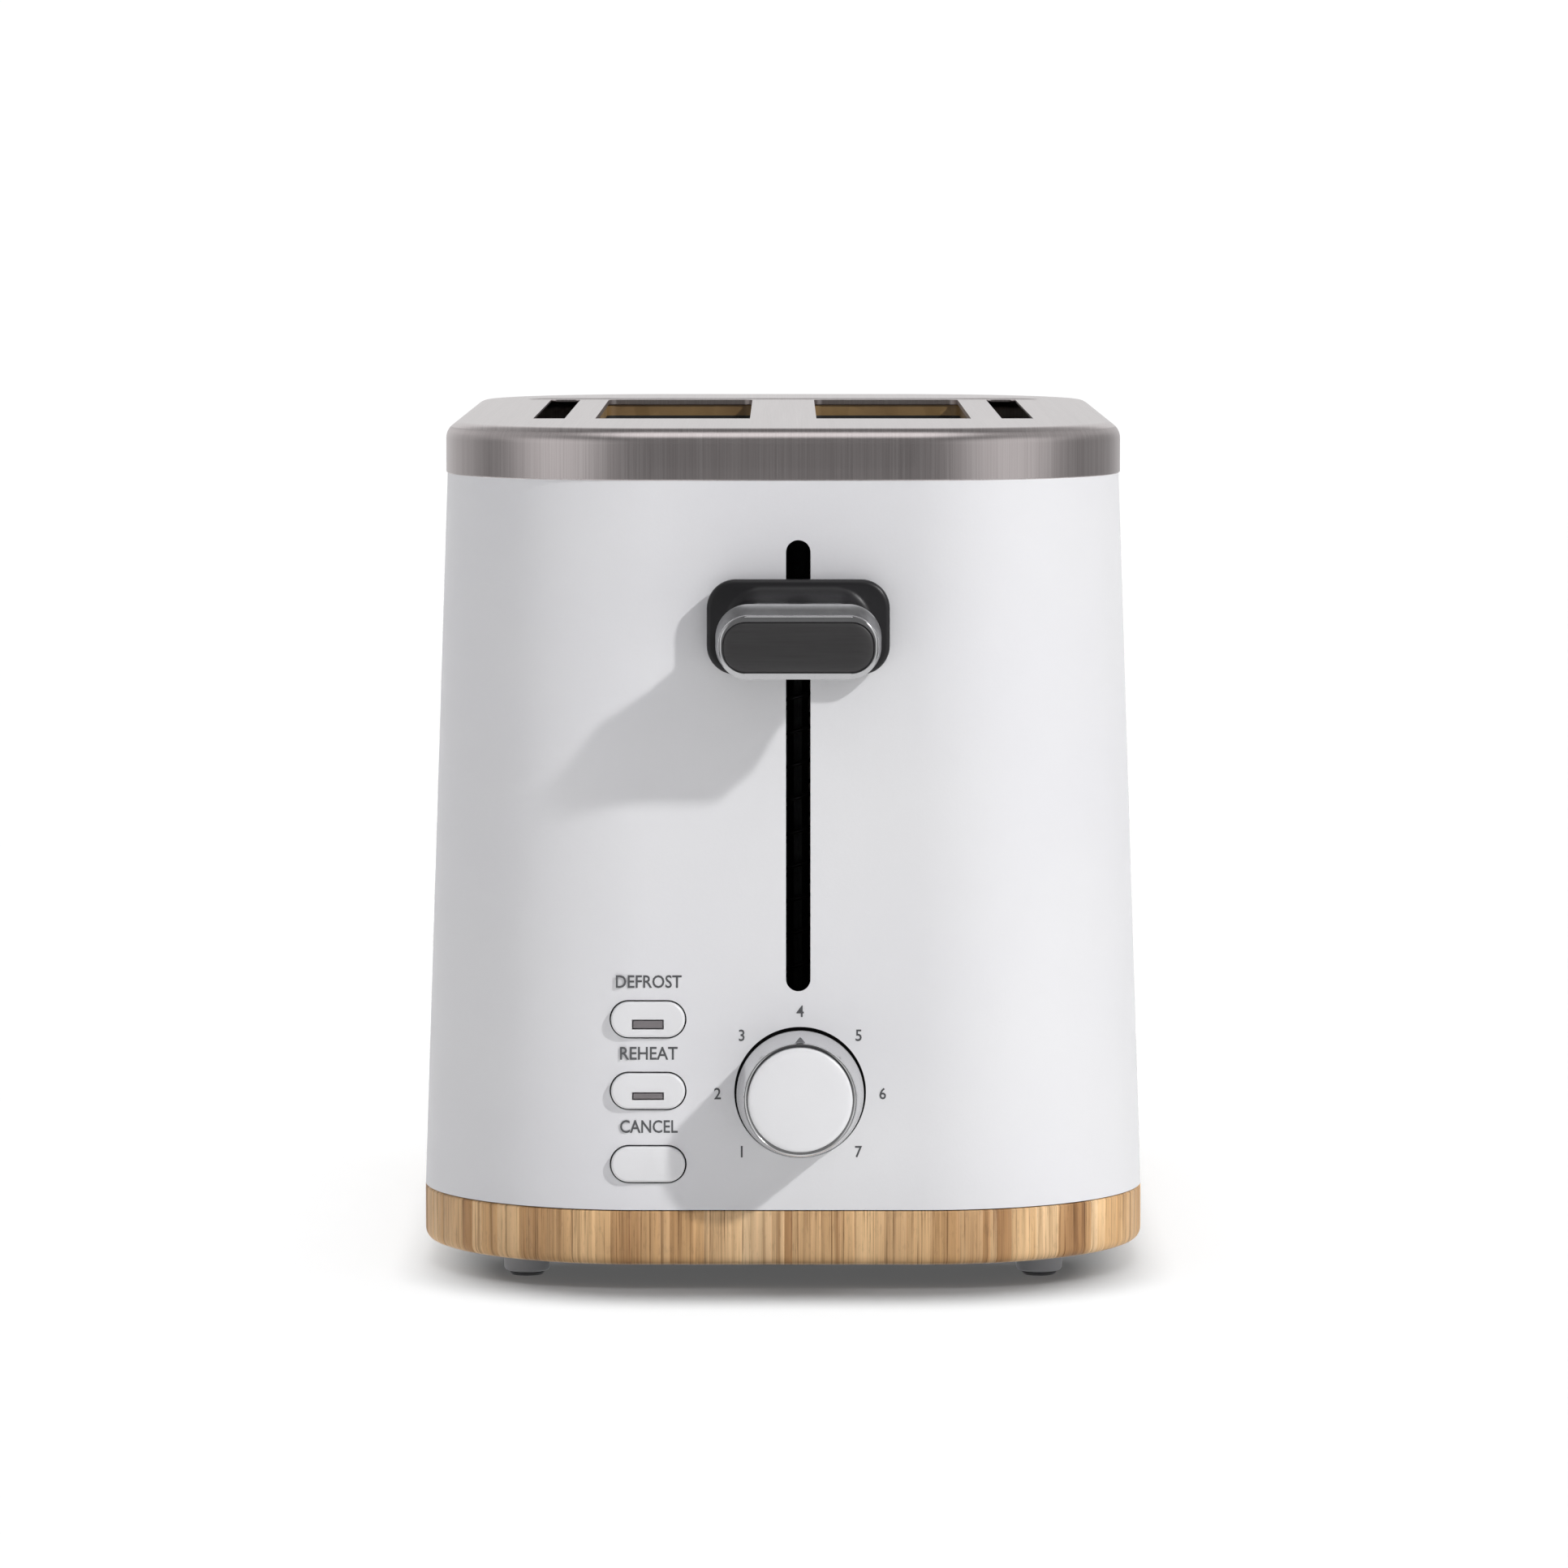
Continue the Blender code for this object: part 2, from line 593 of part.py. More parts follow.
def make_heating_elements():
    """Four mica boards held by corner tabs, each wound with one resistance wire."""
    front, rear = -0.057, 0.087
    tab_front, tab_rear = FRONT_BULKHEAD_Y + 0.001, REAR_BULKHEAD_Y - 0.001
    low, high, tab = 0.038, 0.182, 0.010
    loop = [
        (tab_front, low), (tab_rear, low), (tab_rear, low + tab), (rear, low + tab), (rear, high - tab),
        (tab_rear, high - tab), (tab_rear, high), (tab_front, high), (tab_front, high - tab),
        (front, high - tab), (front, low + tab), (tab_front, low + tab),
    ]
    board_thickness, wire_radius, turns = 0.0008, 0.00045, 9
    stand_off = board_thickness / 2 + GAP + wire_radius
    pitch = (high - low - 2 * tab - 0.012) / (turns - 1)
    start = low + tab + 0.004
    ends = front - 0.0012, rear + 0.0012
    for name, x in left_to_right(*BOARD_X):
        keep(plate(f"mica_board_{name}", [loop], board_thickness, (x, 0, 0), FACING_X), mica, body_frame)
        points = []
        for turn in range(turns):
            z, back_z = start + pitch * turn, start + pitch * (turn + 0.25)
            points += [(x + stand_off, ends[0], z), (x + stand_off, ends[1], z)]
            points += [(x - stand_off, ends[1], back_z), (x - stand_off, ends[0], back_z)]
        keep(wire(f"heating_wire_{name}", points[:-1], wire_radius, 0), nichrome, body_frame)


def make_bread_guards():
    """Four wire grids that lean in on the bread. Each turns about its bottom wire, which is its origin."""
    uprights = 11
    for name, x in left_to_right(*GUARD_X):
        pivot = wire(f"guard_{name}", [(0, -0.070, 0), (0, 0.100, 0)], 0.001, 2)
        guard = keep(as_mesh(pivot), bright_wire, body_frame)
        guard.location = (x, 0, GUARD_PIVOT_Z)
        top_bar = cylinder(f"guard_top_{name}", 0.001, -0.094, 0.073, (0, 0), 8)
        top_bar.rotation_euler = (math.pi / 2, 0, 0)
        top_bar.location = (x, 0.0105, GUARD_TOP_Z)
        join(guard, top_bar)
        for k in range(uprights):
            y = -0.058 + 0.146 * k / (uprights - 1)
            join(guard, cylinder(f"guard_upright_{name}", 0.0007, GUARD_PIVOT_Z, GUARD_TOP_Z, (x, y), 6))


# ---------------------------------------------------------------- carriage and latch
def make_carriage():
    """What the lever moves: arm, slider on the rod, cross bracket, two bread racks and the latch's keeper."""
    wide, tall = ARM_HALF
    low, high = (LEVER_X - wide, -0.1505, LEVER_Z - tall), (LEVER_X + wide, -0.0948, LEVER_Z + tall)
    keep(box("carriage_arm", low, high), zinc_steel, body_frame)
    wide, tall = SLIDER_HALF
    low, high = (LEVER_X - wide, -0.0945, LEVER_Z - tall), (LEVER_X + wide, SLIDER_BACK, LEVER_Z + tall)
    slider = keep(box("carriage_slider", low, high), grey_plastic, body_frame)
    cut(slider, cylinder("slider_bore_cut", ROD_RADIUS + GAP, 0.13, 0.18, (LEVER_X, ROD_Y), 16))
    bar_top, tongue_top = RACK_HIGH + 0.004, LEVER_Z + tall - 0.0005
    loop = [
        (-0.037, RACK_LOW), (0.037, RACK_LOW), (0.037, bar_top), (0.014, bar_top), (0.014, tongue_top),
        (-0.007, tongue_top), (-0.007, bar_top), (-0.037, bar_top),
    ]
    keep(plate("carriage_bracket", [loop], 0.0012, (0, BRACKET_Y, 0), FACING_Y), zinc_steel, body_frame)
    for hand, side in (("left", -1), ("right", 1)):
        x = side * SLOT_X
        rack = box(f"bread_rack_{hand}", (x - 0.0005, -0.0794, RACK_LOW), (x + 0.0005, 0.102, RACK_HIGH))
        keep(rack, zinc_steel, body_frame)
        for k in range(7):
            y = -0.052 + 0.0223 * k
            rung = box(f"rack_rung_{hand}", (-0.0115, -0.0022, -0.0004), (0.0115, 0.0022, 0.0005))
            rung.location += Vector((x, y, RACK_HIGH))
            join(rack, rung)
    bottom = MAGNET_TOP + LEVER_DROP + GAP
    low, high = (MAGNET_SPAN[0], -0.097, bottom), (MAGNET_SPAN[1], SLIDER_BACK, bottom + 0.0025)
    keep(box("keeper_plate", low, high), dark_steel, body_frame)


def make_rod_and_spring():
    """The guide rod between the pan's post and the shelf, and the lift spring round it under the slider."""
    rod = cylinder("guide_rod", ROD_RADIUS, 0.0098, SHELF_Z + 0.003, (LEVER_X, ROD_Y), 16)
    keep(rod, dark_steel, body_frame)
    wire_radius, coil_radius, turns, steps = 0.0005, 0.0048, 15, 10
    low = ROD_POST_TOP + wire_radius + GAP
    high = LEVER_Z - SLIDER_HALF[1] - wire_radius - GAP
    points = []
    for k in range(turns * steps + 1):
        angle = 2 * math.pi * k / steps
        z = low + (high - low) * k / (turns * steps)
        points.append((LEVER_X + coil_radius * math.cos(angle), ROD_Y + coil_radius * math.sin(angle), z))
    keep(wire("lift_spring", points, wire_radius, 1), spring_steel, body_frame)


def make_latch_magnet():
    """The electromagnet that holds the carriage down: a U core on the pan with a coil on one leg."""
    left, right = MAGNET_SPAN
    leg, low, yoke_top = 0.005, PAN_TOP + GAP, 0.016
    loop = [
        (left, low), (right, low), (right, MAGNET_TOP), (right - leg, MAGNET_TOP),
        (right - leg, yoke_top), (left + leg, yoke_top), (left + leg, MAGNET_TOP), (left, MAGNET_TOP),
    ]
    keep(plate("magnet_core", [loop], 0.009, (0, -0.0915, 0), FACING_Y), dark_steel, body_frame)
    coil = box("magnet_coil", (-0.0290, -0.1000, 0.0165), (-0.0155, -0.0830, 0.0400))
    keep(coil, copper, body_frame)
    cut(coil, box("coil_bore_cut", (-0.0254, -0.0964, 0.010), (-0.0196, -0.0866, 0.050)))


def make_switch_and_terminals():
    switch = box("main_switch", (0.017, -0.087, PAN_TOP + GAP), (0.031, -0.0735, 0.030))
    keep(switch, black_plastic, body_frame)
    join(switch, cylinder("switch_plunger", 0.0016, 0.028, 0.0334, (0.024, BRACKET_Y), 12))
    low, high = (-BLOCK_HALF_WIDTH, REAR_BULKHEAD_Y + 0.0008, 0.040), (BLOCK_HALF_WIDTH, 0.112, 0.054)
    block = keep(box("terminal_block", low, high), cream_plastic, body_frame)
    for side in (-1, 1):
        cut(block, cylinder("terminal_cut", 0.0022, 0.046, 0.06, (side * BLOCK_HALF_WIDTH / 2, 0.105), 12))


# ---------------------------------------------------------------- crumb tray
def make_crumb_tray():
    """A shallow steel tray that slides out at the rear, and its handle, which follows the shell's curve."""
    bm = bmesh.new()
    low = (-TRAY_HALF, TRAY_FRONT, TRAY_BOTTOM)
    high = (TRAY_HALF, TRAY_REAR, TRAY_BOTTOM + TRAY_DEPTH)
    bmesh.ops.create_cube(bm, size=1)
    bmesh.ops.scale(bm, vec=[b - a for a, b in zip(low, high)], verts=bm.verts)
    bm.faces.ensure_lookup_table()
    lid = max(bm.faces, key=lambda face: face.calc_center_median().z)
    bmesh.ops.delete(bm, geom=[lid], context="FACES_ONLY")
    tray = keep(mesh_object("crumb_tray", bm), zinc_steel, body_frame)
    tray.location = [(a + b) / 2 for a, b in zip(low, high)]
    solidify(tray, 0.0007)
    bottom, top = TRAY_BOTTOM + 0.0001, TRAY_BOTTOM + TRAY_DEPTH + 0.0016
    follow = [body_ring(z, 0.0012, z) for z in (bottom - 0.005, top + 0.005)]
    block = box("crumb_tray_handle", (-HANDLE_HALF, TRAY_REAR + GAP, bottom), (HANDLE_HALF, 0.140, top))
    handle = keep(block, white_plastic, body_frame)
    boolean(handle, helper(loft("handle_curve", follow), body_frame), "INTERSECT")
    join(handle, box("handle_pull", (-0.020, 0.134, bottom + 0.003), (0.020, PULL_REACH, top - 0.003)))


def build():
    make_body_shell()
    make_top_cover()
    make_wood_band()
    make_base_pan()
    make_base_screws()
    make_feet()
    make_cord_gland()
    make_lever()
    make_dial()
    make_buttons()
    make_control_board()
    make_panel_carrier()
    make_bulkheads()
    make_reflectors()
    make_heating_elements()
    make_bread_guards()
    make_carriage()
    make_rod_and_spring()
    make_latch_magnet()
    make_switch_and_terminals()
    make_crumb_tray()


for old in list(bpy.data.objects):
    bpy.data.objects.remove(old)

parts = collection("pop_up_toaster")
cutters = collection("cutters")

white_paint = material("white_paint", (0.86, 0.86, 0.87), 0.38)
brushed_steel = material("brushed_steel", (0.52, 0.51, 0.50), 0.32, 1.0)
timber = material("timber", (0.58, 0.40, 0.23), 0.55)
grey_plastic = material("grey_plastic", (0.16, 0.16, 0.17), 0.55)
foot_rubber = material("foot_rubber", (0.55, 0.56, 0.58), 0.6)
black_plastic = material("black_plastic", (0.035, 0.034, 0.036), 0.42)
charcoal = material("charcoal", (0.06, 0.058, 0.06), 0.4)
white_plastic = material("white_plastic", (0.88, 0.88, 0.89), 0.3)
lens_grey = material("lens_grey", (0.22, 0.20, 0.21), 0.3)
chrome = material("chrome", (0.78, 0.78, 0.79), 0.12, 1.0)
zinc_steel = material("zinc_steel", (0.62, 0.62, 0.60), 0.42, 1.0)
dark_steel = material("dark_steel", (0.30, 0.30, 0.31), 0.4, 1.0)
spring_steel = material("spring_steel", (0.45, 0.45, 0.46), 0.3, 1.0)
bright_wire = material("bright_wire", (0.70, 0.69, 0.66), 0.25, 1.0)
mica = material("mica", (0.50, 0.36, 0.17), 0.5)
nichrome = material("nichrome", (0.38, 0.34, 0.30), 0.4, 1.0)
brass = material("brass", (0.72, 0.55, 0.25), 0.3, 1.0)
copper = material("copper", (0.55, 0.25, 0.12), 0.4, 1.0)
board_green = material("board_green", (0.03, 0.16, 0.07), 0.45)
cream_plastic = material("cream_plastic", (0.72, 0.68, 0.56), 0.5)

FACE_AT_FLOOR = BODY_LENGTH / 2 + BAND_TOP * math.tan(LEAN)
body_frame = frame_empty("body_frame", (0, BODY_Y, 0))
front_frame = frame_empty("front_frame", (0, -FACE_AT_FLOOR, 0), (math.pi / 2 - LEAN, 0, 0), body_frame)
rear_frame = frame_empty("rear_frame", (0, FACE_AT_FLOOR, 0), (math.pi / 2 - LEAN, 0, math.pi), body_frame)

build()
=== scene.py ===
import math
import random

import bmesh
import bpy
from mathutils import Matrix, Vector


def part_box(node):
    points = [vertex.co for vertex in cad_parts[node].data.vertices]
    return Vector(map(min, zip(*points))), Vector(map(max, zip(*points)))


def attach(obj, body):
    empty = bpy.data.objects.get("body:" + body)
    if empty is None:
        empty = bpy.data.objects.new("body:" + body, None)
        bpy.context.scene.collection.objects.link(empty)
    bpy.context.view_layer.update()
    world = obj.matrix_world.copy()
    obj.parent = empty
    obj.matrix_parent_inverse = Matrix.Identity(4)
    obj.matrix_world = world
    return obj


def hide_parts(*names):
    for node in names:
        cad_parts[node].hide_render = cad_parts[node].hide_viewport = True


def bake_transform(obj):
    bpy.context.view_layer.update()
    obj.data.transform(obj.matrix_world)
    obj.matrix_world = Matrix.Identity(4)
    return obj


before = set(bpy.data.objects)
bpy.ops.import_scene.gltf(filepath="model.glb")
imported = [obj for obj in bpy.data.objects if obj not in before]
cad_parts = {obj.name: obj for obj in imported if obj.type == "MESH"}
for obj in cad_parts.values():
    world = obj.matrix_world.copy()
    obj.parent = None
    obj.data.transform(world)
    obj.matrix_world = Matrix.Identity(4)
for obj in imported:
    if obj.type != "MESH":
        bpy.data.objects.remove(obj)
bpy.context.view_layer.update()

print("frame loaded:", len(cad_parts), "nodes")

# the body's own shape, from which everything on its face is placed
bandLow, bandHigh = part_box("wood_band")
lidLow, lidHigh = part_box("top_cover")
shellLow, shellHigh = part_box("body_shell")
midY = (bandLow.y + bandHigh.y) / 2
halfWidth, halfLength = bandHigh.x, (bandHigh.y - bandLow.y) / 2
bodyShape = {"cornerRadius": 0.0526, "cornerTaper": 0.003, "sideTaper": 0.0058, "endTaper": 0.0035}
lean = math.atan(bodyShape["endTaper"] / (lidLow.z - bandHigh.z))
faceAtFloor = halfLength + bandHigh.z * math.tan(lean)
frontPlace = Matrix.Translation((0, midY - faceAtFloor, 0)) @ Matrix.Rotation(math.pi / 2 - lean, 4, "X")
rearPlace = (Matrix.Translation((0, midY + faceAtFloor, 0)) @ Matrix.Rotation(math.pi, 4, "Z")
             @ Matrix.Rotation(math.pi / 2 - lean, 4, "X"))


def outline(halfX, halfY, radius, steps, centre=(0, 0)):  # rounded rectangle, anticlockwise from +X
    points = []
    for corner, (sideX, sideY) in enumerate(((1, 1), (-1, 1), (-1, -1), (1, -1))):
        for step in range(steps + 1):
            angle = math.radians(90 * (corner + step / steps))
            points.append((centre[0] + sideX * (halfX - radius) + radius * math.cos(angle),
                           centre[1] + sideY * (halfY - radius) + radius * math.sin(angle)))
    return points


def bodyRing(shapeZ, offset, z, steps=28):  # the body's outline at a height, moved outwards
    rise = (shapeZ - bandHigh.z) / (lidLow.z - bandHigh.z)
    halfX = halfWidth - bodyShape["sideTaper"] * rise + offset
    halfY = halfLength - bodyShape["endTaper"] * rise + offset
    radius = bodyShape["cornerRadius"] - bodyShape["cornerTaper"] * rise + offset
    return [(x, y, z) for x, y in outline(halfX, halfY, radius, steps, (0, midY))]


def girth(x, y):  # distance round the body's outline from the middle of the right side
    radius = bodyShape["cornerRadius"]
    flatX, flatY = halfWidth - radius, halfLength - radius
    px, py = abs(x), abs(y - midY)
    if px <= flatX:
        quarter = flatY + radius * math.pi / 2 + flatX - px
    elif py <= flatY:
        quarter = py
    else:
        quarter = flatY + radius * math.atan2(py - flatY, px - flatX)
    whole = 2 * (flatX + flatY) + radius * math.pi
    side = quarter if x >= 0 else whole - quarter
    return side if y >= midY else -side


# mesh helpers
def toObject(name, mesh, place=None):
    if place is not None:
        mesh.transform(place)
    mesh.name = name
    obj = bpy.data.objects.new(name, mesh)
    bpy.context.scene.collection.objects.link(obj)
    return obj


def shade(mesh, sharp):  # smooth, with edges steeper than this left sharp
    mesh.shade_smooth()
    mesh.set_sharp_from_angle(angle=math.radians(sharp))


def fromBmesh(name, bm, place=None, sharp=35):
    bmesh.ops.remove_doubles(bm, verts=bm.verts, dist=1e-7)
    bmesh.ops.recalc_face_normals(bm, faces=bm.faces)
    mesh = bpy.data.meshes.new(name)
    bm.to_mesh(mesh)
    bm.free()
    shade(mesh, sharp)
    return toObject(name, mesh, place)


def centreOf(low, high):
    return (low.x + high.x) / 2, (low.y + high.y) / 2


def titled(place):  # outer_left becomes OuterLeft
    return place.title().replace("_", "")


def quarterTurn(steps):  # across and up, from 0 to 1, round a rounded edge
    angles = [math.radians(90 * step / steps) for step in range(steps + 1)]
    return [(1 - math.cos(angle), math.sin(angle)) for angle in angles]


def loft(rings, bottom=True, top=True):
    bm = bmesh.new()
    made = [[bm.verts.new(point) for point in ring] for ring in rings]
    for lower, upper in zip(made, made[1:]):
        for k in range(len(lower)):
            after = (k + 1) % len(lower)
            bm.faces.new((lower[k], lower[after], upper[after], upper[k]))
    if bottom:
        bm.faces.new(reversed(made[0]))
    if top:
        bm.faces.new(made[-1])
    bmesh.ops.remove_doubles(bm, verts=bm.verts, dist=1e-7)
    return bm


def disc(radius, steps, centre):  # the outline of a round hole
    return outline(radius, radius, radius * 0.9999, steps, centre)


def prism(name, points, low, high, place=None):
    return fromBmesh(name, loft([[(x, y, z) for x, y in points] for z in (low, high)]), place)


def bar(sections, centre, steps):  # sections: z, half x, half y, corner radius, shift in y
    return loft([[(x, y, z) for x, y in outline(halfX, halfY, radius, steps, (centre[0], centre[1] + shift))]
                 for z, halfX, halfY, radius, shift in sections])


def turned(profile, centre, steps, closed=False):  # profile of (radius, z), turned about z
    bm = bmesh.new()
    points = [bm.verts.new((radius, 0, z)) for radius, z in profile]
    edges = [bm.edges.new(pair) for pair in zip(points, points[1:])]
    if closed:
        edges.append(bm.edges.new((points[-1], points[0])))
    bmesh.ops.spin(bm, geom=points + edges, cent=(0, 0, 0), axis=(0, 0, 1), angle=2 * math.pi, steps=steps,
                   use_merge=True)
    bmesh.ops.remove_doubles(bm, verts=bm.verts, dist=1e-7)
    bmesh.ops.translate(bm, vec=(*centre, 0), verts=bm.verts)
    return bm


def block(low, high):  # a box from corner to corner
    bm = bmesh.new()
    bmesh.ops.create_cube(bm, size=1)
    bmesh.ops.scale(bm, vec=[b - a for a, b in zip(low, high)], verts=bm.verts)
    bmesh.ops.translate(bm, vec=[(a + b) / 2 for a, b in zip(low, high)], verts=bm.verts)
    return bm


def evaluatedMesh(obj):
    bpy.context.view_layer.update()
    return bpy.data.meshes.new_from_object(obj.evaluated_get(bpy.context.evaluated_depsgraph_get()))


def settle(obj):  # turns the live modifiers into plain mesh
    mesh = evaluatedMesh(obj)
    obj.modifiers.clear()
    old, obj.data = obj.data, mesh
    bpy.data.meshes.remove(old)
    return obj


def shape(obj, operation, *tools):  # cuts or joins the tools, and clears them away
    for tool in tools:
        modifier = obj.modifiers.new(operation.title(), "BOOLEAN")
        modifier.operation, modifier.solver, modifier.object = operation, "EXACT", tool
    shade(settle(obj).data, 35)
    for tool in tools:
        bpy.data.objects.remove(tool)
    return obj


def thicken(obj, wall):
    modifier = obj.modifiers.new("Wall", "SOLIDIFY")
    modifier.thickness, modifier.offset, modifier.use_even_offset = wall, -1, True
    shade(settle(obj).data, 35)
    return obj


def soften(obj, width, angle=40):  # small bevels, and faces that stay flat beside them
    modifier = obj.modifiers.new("Edges", "BEVEL")
    modifier.width, modifier.segments, modifier.limit_method = width, 2, "ANGLE"
    modifier.angle_limit, modifier.use_clamp_overlap = math.radians(angle), True
    shade(settle(obj).data, 50)
    obj.modifiers.new("Normals", "WEIGHTED_NORMAL").keep_sharp = True
    return settle(obj)


def fit(obj, body, material, slot, *nodes):  # gives the piece its finish and its body
    obj.data.materials.clear()
    obj.data.materials.append(material)
    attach(obj, body)
    if nodes:
        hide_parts(*nodes)
    return obj


# materials
class Finish:  # a Principled material and the few nodes that give it grain
    def __init__(self, name, colour, roughness, metallic=0.0, **sockets):
        self.material = bpy.data.materials.new(name)
        self.material.use_nodes = True
        self.nodes, self.links = self.material.node_tree.nodes, self.material.node_tree.links
        self.shader = self.nodes["Principled BSDF"]
        self.shader.inputs["Base Color"].default_value = (*colour, 1)
        self.shader.inputs["Roughness"].default_value = roughness
        self.shader.inputs["Metallic"].default_value = metallic
        for socket, value in sockets.items():
            self.shader.inputs[socket.replace("_", " ")].default_value = value
        self.height = None

    def add(self, kind, **inputs):
        node = self.nodes.new(kind)
        for socket, value in inputs.items():
            name = socket.replace("_", " ")
            if isinstance(value, bpy.types.NodeSocket):
                self.links.new(value, node.inputs[name])
            else:
                node.inputs[name].default_value = value
        return node

    def place(self, scale, uv=None):  # coordinates, in metres, times scale
        if uv:
            node = self.nodes.new("ShaderNodeUVMap")
            node.uv_map = uv
            vector = node.outputs["UV"]
        else:
            vector = self.nodes.new("ShaderNodeTexCoord").outputs["Object"]
        return self.add("ShaderNodeMapping", Vector=vector, Scale=scale).outputs["Vector"]

    def noise(self, scale, detail=2.0, roughness=0.5, uv=None):
        return self.add("ShaderNodeTexNoise", Vector=self.place(scale, uv), Scale=1.0, Detail=detail,
                        Roughness=roughness).outputs["Fac"]

    def ramp(self, factor, *stops):
        node = self.add("ShaderNodeValToRGB", Fac=factor)
        elements = node.color_ramp.elements
        while len(elements) < len(stops):
            elements.new(0.5)
        for element, (position, colour) in zip(elements, stops):
            element.position = position
            element.color = (*colour, 1) if isinstance(colour, tuple) else (colour, colour, colour, 1)
        return node.outputs["Color"]

    def blend(self, factor, first, second, kind="MIX"):
        node = self.nodes.new("ShaderNodeMix")
        node.data_type, node.blend_type = "RGBA", kind
        for socket, value in ((node.inputs[0], factor), (node.inputs[6], first), (node.inputs[7], second)):
            if isinstance(value, bpy.types.NodeSocket):
                self.links.new(value, socket)
            else:
                socket.default_value = (*value, 1) if isinstance(value, tuple) else value
        return node.outputs[2]

    def colour(self, socket):
        self.links.new(socket, self.shader.inputs["Base Color"])

    def cloud(self, factor, colour, spread):  # the colour, a little darker and lighter in places
        lower = tuple(part * (1 - spread) for part in colour)
        upper = tuple(min(1.0, part * (1 + spread)) for part in colour)
        self.colour(self.ramp(factor, (0.3, lower), (0.7, upper)))

    def roughen(self, factor, low, high):
        node = self.add("ShaderNodeMapRange", Value=factor, To_Min=low, To_Max=high)
        self.links.new(node.outputs["Result"], self.shader.inputs["Roughness"])

    def bump(self, factor, depth, strength=1.0):  # depth in metres
        node = self.add("ShaderNodeBump", Height=factor, Distance=depth, Strength=strength)
        if self.height:
            self.links.new(self.height, node.inputs["Normal"])
        self.height = node.outputs["Normal"]
        self.links.new(self.height, self.shader.inputs["Normal"])


def paintFinish():
    made = Finish("whitePaint", (0.745, 0.745, 0.755), 0.40, Specular_IOR_Level=0.42)
    cloud = made.noise((14, 14, 14), 3)
    made.colour(made.ramp(cloud, (0.3, (0.735, 0.734, 0.752)), (0.7, (0.757, 0.757, 0.765))))
    made.roughen(made.noise((60, 60, 60), 3), 0.36, 0.46)
    made.bump(made.noise((1500, 1500, 1500), 2), 0.00004, 0.35)
    made.bump(made.noise((260, 260, 260), 1), 0.00006, 0.25)
    return made.material


def brushedFinish():
    made = Finish("brushedSteel", (0.50, 0.49, 0.48), 0.30, 1.0, Anisotropic=0.55)
    fine = made.noise((2600, 14, 1), 4, 0.7, uv="brush")
    broad = made.noise((420, 5, 1), 3, 0.6, uv="brush")
    both = made.blend(0.25, fine, broad)
    made.colour(made.ramp(both, (0.30, (0.425, 0.385, 0.385)), (0.52, (0.53, 0.485, 0.485)),
                          (0.75, (0.625, 0.59, 0.585))))
    made.roughen(fine, 0.24, 0.40)
    made.bump(fine, 0.00003, 0.30)
    tangent = made.nodes.new("ShaderNodeTangent")
    tangent.direction_type, tangent.uv_map = "UV_MAP", "brush"
    made.links.new(tangent.outputs["Tangent"], made.shader.inputs["Tangent"])
    return made.material


def oakFinish():
    made = Finish("oakBand", (0.55, 0.38, 0.22), 0.5, Specular_IOR_Level=0.35)
    tone = made.nodes.new("ShaderNodeAttribute")
    tone.attribute_name = "staveTone"
    base = made.ramp(tone.outputs["Fac"], (0.0, (0.45, 0.24, 0.098)), (0.35, (0.66, 0.405, 0.187)),
                     (0.7, (0.80, 0.535, 0.28)), (1.0, (0.90, 0.67, 0.41)))
    patch = made.noise((75, 12, 1), 2, 0.5, uv="grain")
    bands = made.noise((640, 9, 1), 3, 0.55, uv="grain")  # soft figure, a millimetre or two wide
    lines = made.noise((2300, 22, 1), 4, 0.6, uv="grain")  # thin dark pores
    fleck = made.noise((1300, 260, 1), 3, 0.6, uv="grain")
    for share, pattern, *stops in ((0.9, patch, (0.36, (0.70, 0.62, 0.55)), (0.62, 1.08)),
                                   (0.9, bands, (0.32, (0.52, 0.44, 0.36)), (0.47, 0.95), (0.70, 1.12)),
                                   (0.9, lines, (0.34, (0.38, 0.30, 0.23)), (0.43, 0.92), (0.7, 1.05)),
                                   (0.5, fleck, (0.32, 0.70), (0.45, 1.0))):
        base = made.blend(share, base, made.ramp(pattern, *stops), "MULTIPLY")
    made.colour(base)
    made.roughen(lines, 0.62, 0.42)
    made.bump(lines, 0.00012, 0.5)
    made.bump(bands, 0.0001, 0.3)
    return made.material


def mouldedFinish(name, colour, roughness, grain=900, depth=0.00005, spread=0.12, **sockets):
    made = Finish(name, colour, roughness, **sockets)
    made.cloud(made.noise((35, 35, 35), 3), colour, spread)
    skin = made.noise((grain, grain, grain), 2)
    made.roughen(skin, roughness * 0.88, roughness * 1.15)
    made.bump(skin, depth, 0.4)
    return made.material


def metalFinish(name, colour, roughness, streak=(300, 300, 300), depth=0.00003, spread=0.12):
    made = Finish(name, colour, roughness, 1.0)
    grain = made.noise(streak, 4, 0.65)
    made.cloud(grain, colour, spread)
    made.roughen(made.noise(tuple(s * 0.4 for s in streak), 3), roughness * 0.75, roughness * 1.3)
    made.bump(grain, depth, 0.3)
    return made.material


def zincFinish():  # pressed sheet with a faint crystalline spangle
    made = Finish("zincSheet", (0.52, 0.52, 0.51), 0.52, 1.0)
    cells = made.add("ShaderNodeTexVoronoi", Vector=made.place((240, 240, 240)), Scale=1.0)
    made.colour(made.ramp(cells.outputs["Color"], (0.2, (0.49, 0.49, 0.48)), (0.8, (0.55, 0.55, 0.54))))
    made.roughen(cells.outputs["Color"], 0.48, 0.58)
    made.bump(made.noise((700, 700, 700), 2), 0.00003, 0.3)
    return made.material


